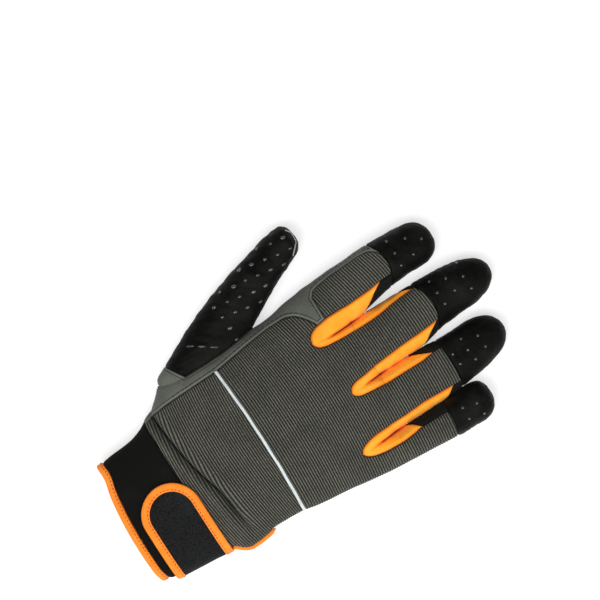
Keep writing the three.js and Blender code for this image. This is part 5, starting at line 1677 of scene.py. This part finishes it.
# Light welts: round the tip of the thumb, and beside the pads of the palm
THUMB_WELT = [(-99.5, 170.9), (-95.7, 173.1), (-91.3, 173), (-87.9, 170.6), (-84.3, 167)]
WELT_RADIUS = 0.42
PALM_WELTS = ("thenar_pad", "hypothenar_pad", "knuckle_pad")
PALM_WELT = {"outside": 0.75, "z": 1.5}


def welt(path, closed_path):
    """A round cord along a path of places."""
    if closed_path:
        ahead = unit(np.roll(path, -1, 0) - np.roll(path, 1, 0))
    else:
        ahead = unit(np.gradient(path, axis=0))
    side = unit(np.cross(ahead, [0, 0, 1]))
    up = np.cross(side, ahead)
    ring = ring_section(WELT_RADIUS, 8)
    return swept(path[:, None] + ring[:, :1] * side[:, None] + ring[:, 1:] * up[:, None], closed_path)


def smooth_path(corners, count):
    """An open smooth curve through corners."""
    p = np.array(corners, float)
    s = run_length(p)
    at = np.linspace(0, s[-1], count)
    return np.stack([curve(list(zip(s, column)))(at) for column in p.T], -1)


def welts():
    places, outward = dropped(panel_tree("thumb_back"), smooth_path(THUMB_WELT, 60), True)
    add_thread("thumb_welt", welt(places + outward * 0.1, False), "light_thread")
    for name in PALM_WELTS:
        path = at_height(inset_outline(PAD_OUTLINES[name], -PALM_WELT["outside"]), PALM_WELT["z"])
        add_thread(name + "_welt", welt(path, True), "light_thread")


welts()


def stitches(path, outward, length, gap, radius):
    """A row of stitches along a path: short threads whose ends dip into the cloth."""
    at = run_length(path)
    pitch = length + gap
    count = max(1, int((at[-1] + gap) / pitch))
    start = (at[-1] - count * pitch + gap) / 2 + np.arange(count) * pitch
    t = np.linspace(0, 1, 6)
    s = start[:, None] + t * length
    place, up = (np.stack([np.interp(s, at, column) for column in v.T], -1) for v in (path, outward))
    up = unit(up)
    side = np.cross(unit(np.gradient(place, axis=1)), up)
    place = place + up * (radius * (1.3 * np.sin(np.pi * t) - 0.8))[None, :, None]
    ring = ring_section(radius, 6)
    return joined(place[:, :, None] + ring[:, :1] * side[:, :, None] + ring[:, 1:] * up[:, :, None])


def beside(path, distance):
    """A plan path moved to its left."""
    ahead = np.gradient(path, axis=0)
    return path + distance * unit(np.stack([-ahead[:, 1], ahead[:, 0]], -1))


def on_index(x, y):
    """Plan places of the skin's points at x and row y, on the index finger's strip."""
    return np.stack([x, y + bowed(x, y) + hood_bow(FINGERS[0], x, y)], -1)


SEAM_THREAD = {"length": 2.3, "gap": 0.9, "radius": 0.24}
TAPE_THREAD = {"length": 1.4, "gap": 0.9, "radius": 0.27}
# Where the suede's stitches run: rows beside the back's seam and the insert's, and x below the insert
SIDE_STITCHES = (61, 156)
INSERT_STITCHES = (165.5, 205.5)
LOW_STITCHES = (-56, -44.5)


def seam_stitches():
    tree = panel_tree("side_panel")
    y = np.linspace(*SIDE_STITCHES, 260)
    side = beside(on_index(side_seam(y), y), TOPSTITCH)
    y = np.linspace(*INSERT_STITCHES, 160)
    insert = beside(on_index(insert_seam(y), y), TOPSTITCH)
    low = on_index(np.linspace(*LOW_STITCHES, 60), np.full(60, INSERT_START - TOPSTITCH))
    for name, plan in (("side", side), ("insert", insert), ("insert_low", low)):
        add_thread(name + "_stitches", stitches(*dropped(tree, plan, True), **SEAM_THREAD), "black_thread")


seam_stitches()

STRAP_STITCH_INSET = 3.9
STITCH_LIFT = 0.46
CUFF_STITCH = {"out": 0.52, "y": 1.5}
LOWEST_STITCH = 0.45  # keeps the strap's thread off the table


def tape_stitches():
    line = strap_outline(STRAP_STITCH_INSET)
    line = line[np.linalg.norm(np.diff(line, axis=0, prepend=line[:1] - 1), axis=1) > 1e-6]
    path = strap_place(*line.T, STRAP_TOP + STITCH_LIFT)
    outward = strap_place(*line.T, STRAP_TOP + STITCH_LIFT + 1) - path
    path[:, 2] = np.maximum(path[:, 2], LOWEST_STITCH)
    add_thread("strap_stitches", stitches(path, outward, **TAPE_THREAD), "orange_thread")
    loop, out = cuff_loop()
    path = loop + CUFF_STITCH["out"] * out + [0, CUFF_STITCH["y"], 0]
    path, out = np.concatenate([path, path[:1]]), np.concatenate([out, out[:1]])
    add_thread("cuff_stitches", stitches(path, out, **TAPE_THREAD), "orange_thread")


tape_stitches()

# Pull tab with its moulded ring and disc
TAB = {"x": -1.7, "y": 17.5, "half": 7.3, "end_x": 10.5, "end_y": 13.4, "neck": 15.5, "top": 50}
RING = {"rx": 9.3, "ry": 12.4, "thickness": 0.75}
DISC = {"y": TAB["y"] - 1.4, "rx": 7, "ry": 7.9, "gap": 0.4}
EYE = {"x": TAB["x"] + 1, "y": TAB["y"] + 9.4, "r": 1.7}


def tab_outline():
    angle = np.linspace(0.78 * np.pi, 2.22 * np.pi, 90)[1:-1]
    end = np.stack([TAB["x"] + TAB["end_x"] * np.cos(angle), TAB["y"] + TAB["end_y"] * np.sin(angle)], -1)
    left, right, neck = TAB["x"] - TAB["half"], TAB["x"] + TAB["half"], TAB["y"] + TAB["neck"]
    sides = np.linspace(TAB["top"], neck, 18)
    return np.concatenate([np.stack([np.full_like(sides, left), sides], -1), end,
                           np.stack([np.full_like(sides, right), sides[::-1]], -1)])


TAB_STITCH_INSET = 0.9
# Inset and z of each moulded edge
TAB_PROFILE = [(0.3, 1.05), (0.05, 1.2), (0, 1.6), (0.1, 2.1)]
RING_PROFILE = [(0.35, 0.02), (0.1, 0.12), (0, 0.35), (0, RING["thickness"])]
DISC_PROFILE = [(0.5, 0.16), (0.15, 0.22), (0, 0.4), (0, RING["thickness"])]


def pull_tab():
    outline = anticlockwise(tab_outline())
    add_piece("tab_suede", plate(outline, TAB_PROFILE), "suede", nodes=("pull_tab",))
    path = at_height(inset_outline(outline, TAB_STITCH_INSET), TAB_PROFILE[0][1])
    down = np.tile([0.0, 0.0, -1.0], (len(path), 1))
    add_thread("tab_stitches", stitches(path, down, **TAPE_THREAD), "light_thread")
    ring = oval(TAB["x"], TAB["y"], RING["rx"], RING["ry"], 120)
    holes = [oval(TAB["x"], DISC["y"], DISC["rx"] + DISC["gap"], DISC["ry"] + DISC["gap"], 90),
             oval(EYE["x"], EYE["y"], EYE["r"], EYE["r"], 40)]
    add_piece("tab_ring_moulded", plate(ring, RING_PROFILE, holes), "tab_plastic", nodes=("tab_ring",))
    disc = oval(TAB["x"], DISC["y"], DISC["rx"], DISC["ry"], 90)
    add_piece("tab_disc_moulded", plate(disc, DISC_PROFILE), "disc_plastic", nodes=("tab_disc",))


pull_tab()


# Floor, light and camera
FLOOR_SIZE = 3
FLOOR_Z = -0.0002
FLOOR_GLOW = 0.6  # the lit table under the glove, which keeps its shadows pale
WORLD_LIGHT = 0.25
LIGHTS = {  # place, diameter, watts
    "key": ((0.2, -0.55, 1.3), 0.9, 15.5),
    "fill": ((0.8, 0.4, 0.9), 1.2, 7.5),
}


def floor():
    mesh = bpy.data.meshes.new("floor")
    corners = [(-1, -1), (1, -1), (1, 1), (-1, 1)]
    mesh.from_pydata([(FLOOR_SIZE * x, FLOOR_SIZE * y, FLOOR_Z) for x, y in corners], [], [(0, 1, 2, 3)])
    m = Material("floor", 0.9, specular=0.0)
    m.fill(m.shader, {"Emission Color": (1, 1, 1, 1), "Emission Strength": FLOOR_GLOW})
    mesh.materials.append(m.finish(m.blend(rgb(190, 190, 190), rgb(188, 188, 188), m.noise(3))))
    placed("floor", mesh)


def lights():
    world = bpy.data.worlds.new("world")
    world.use_nodes = True
    background = world.node_tree.nodes["Background"].inputs
    background["Color"].default_value = (1, 1, 1, 1)
    background["Strength"].default_value = WORLD_LIGHT
    bpy.context.scene.world = world
    bpy.context.scene.view_settings.view_transform = "Standard"
    for name, (place, size, watts) in LIGHTS.items():
        light = bpy.data.lights.new(name, "AREA")
        light.shape = "DISK"
        light.size = size
        light.energy = watts
        lamp = placed(name, light)
        lamp.location = place
        lamp.rotation_euler = (-Vector(place)).to_track_quat("-Z", "Y").to_euler()


# The photograph looks straight down; its frame is 600 pixels wide
FRAME_WIDTH = 0.3552
FRAME_MIDDLE = (-0.0374, 0.0264)
FRAME_ANGLE = math.radians(58)
CAMERA_HEIGHT = 1.5
GLOVE_MIDDLE = 0.015  # height at which the frame has its width
SENSOR = 36
LENS = SENSOR * (CAMERA_HEIGHT - GLOVE_MIDDLE) / FRAME_WIDTH


def camera():
    data = bpy.data.cameras.new("camera")
    data.lens = LENS
    data.sensor_width = SENSOR
    view = placed("camera", data)
    view.location = (*FRAME_MIDDLE, CAMERA_HEIGHT)
    view.rotation_euler = (0, 0, FRAME_ANGLE)
    bpy.context.scene.camera = view


floor()
lights()
camera()
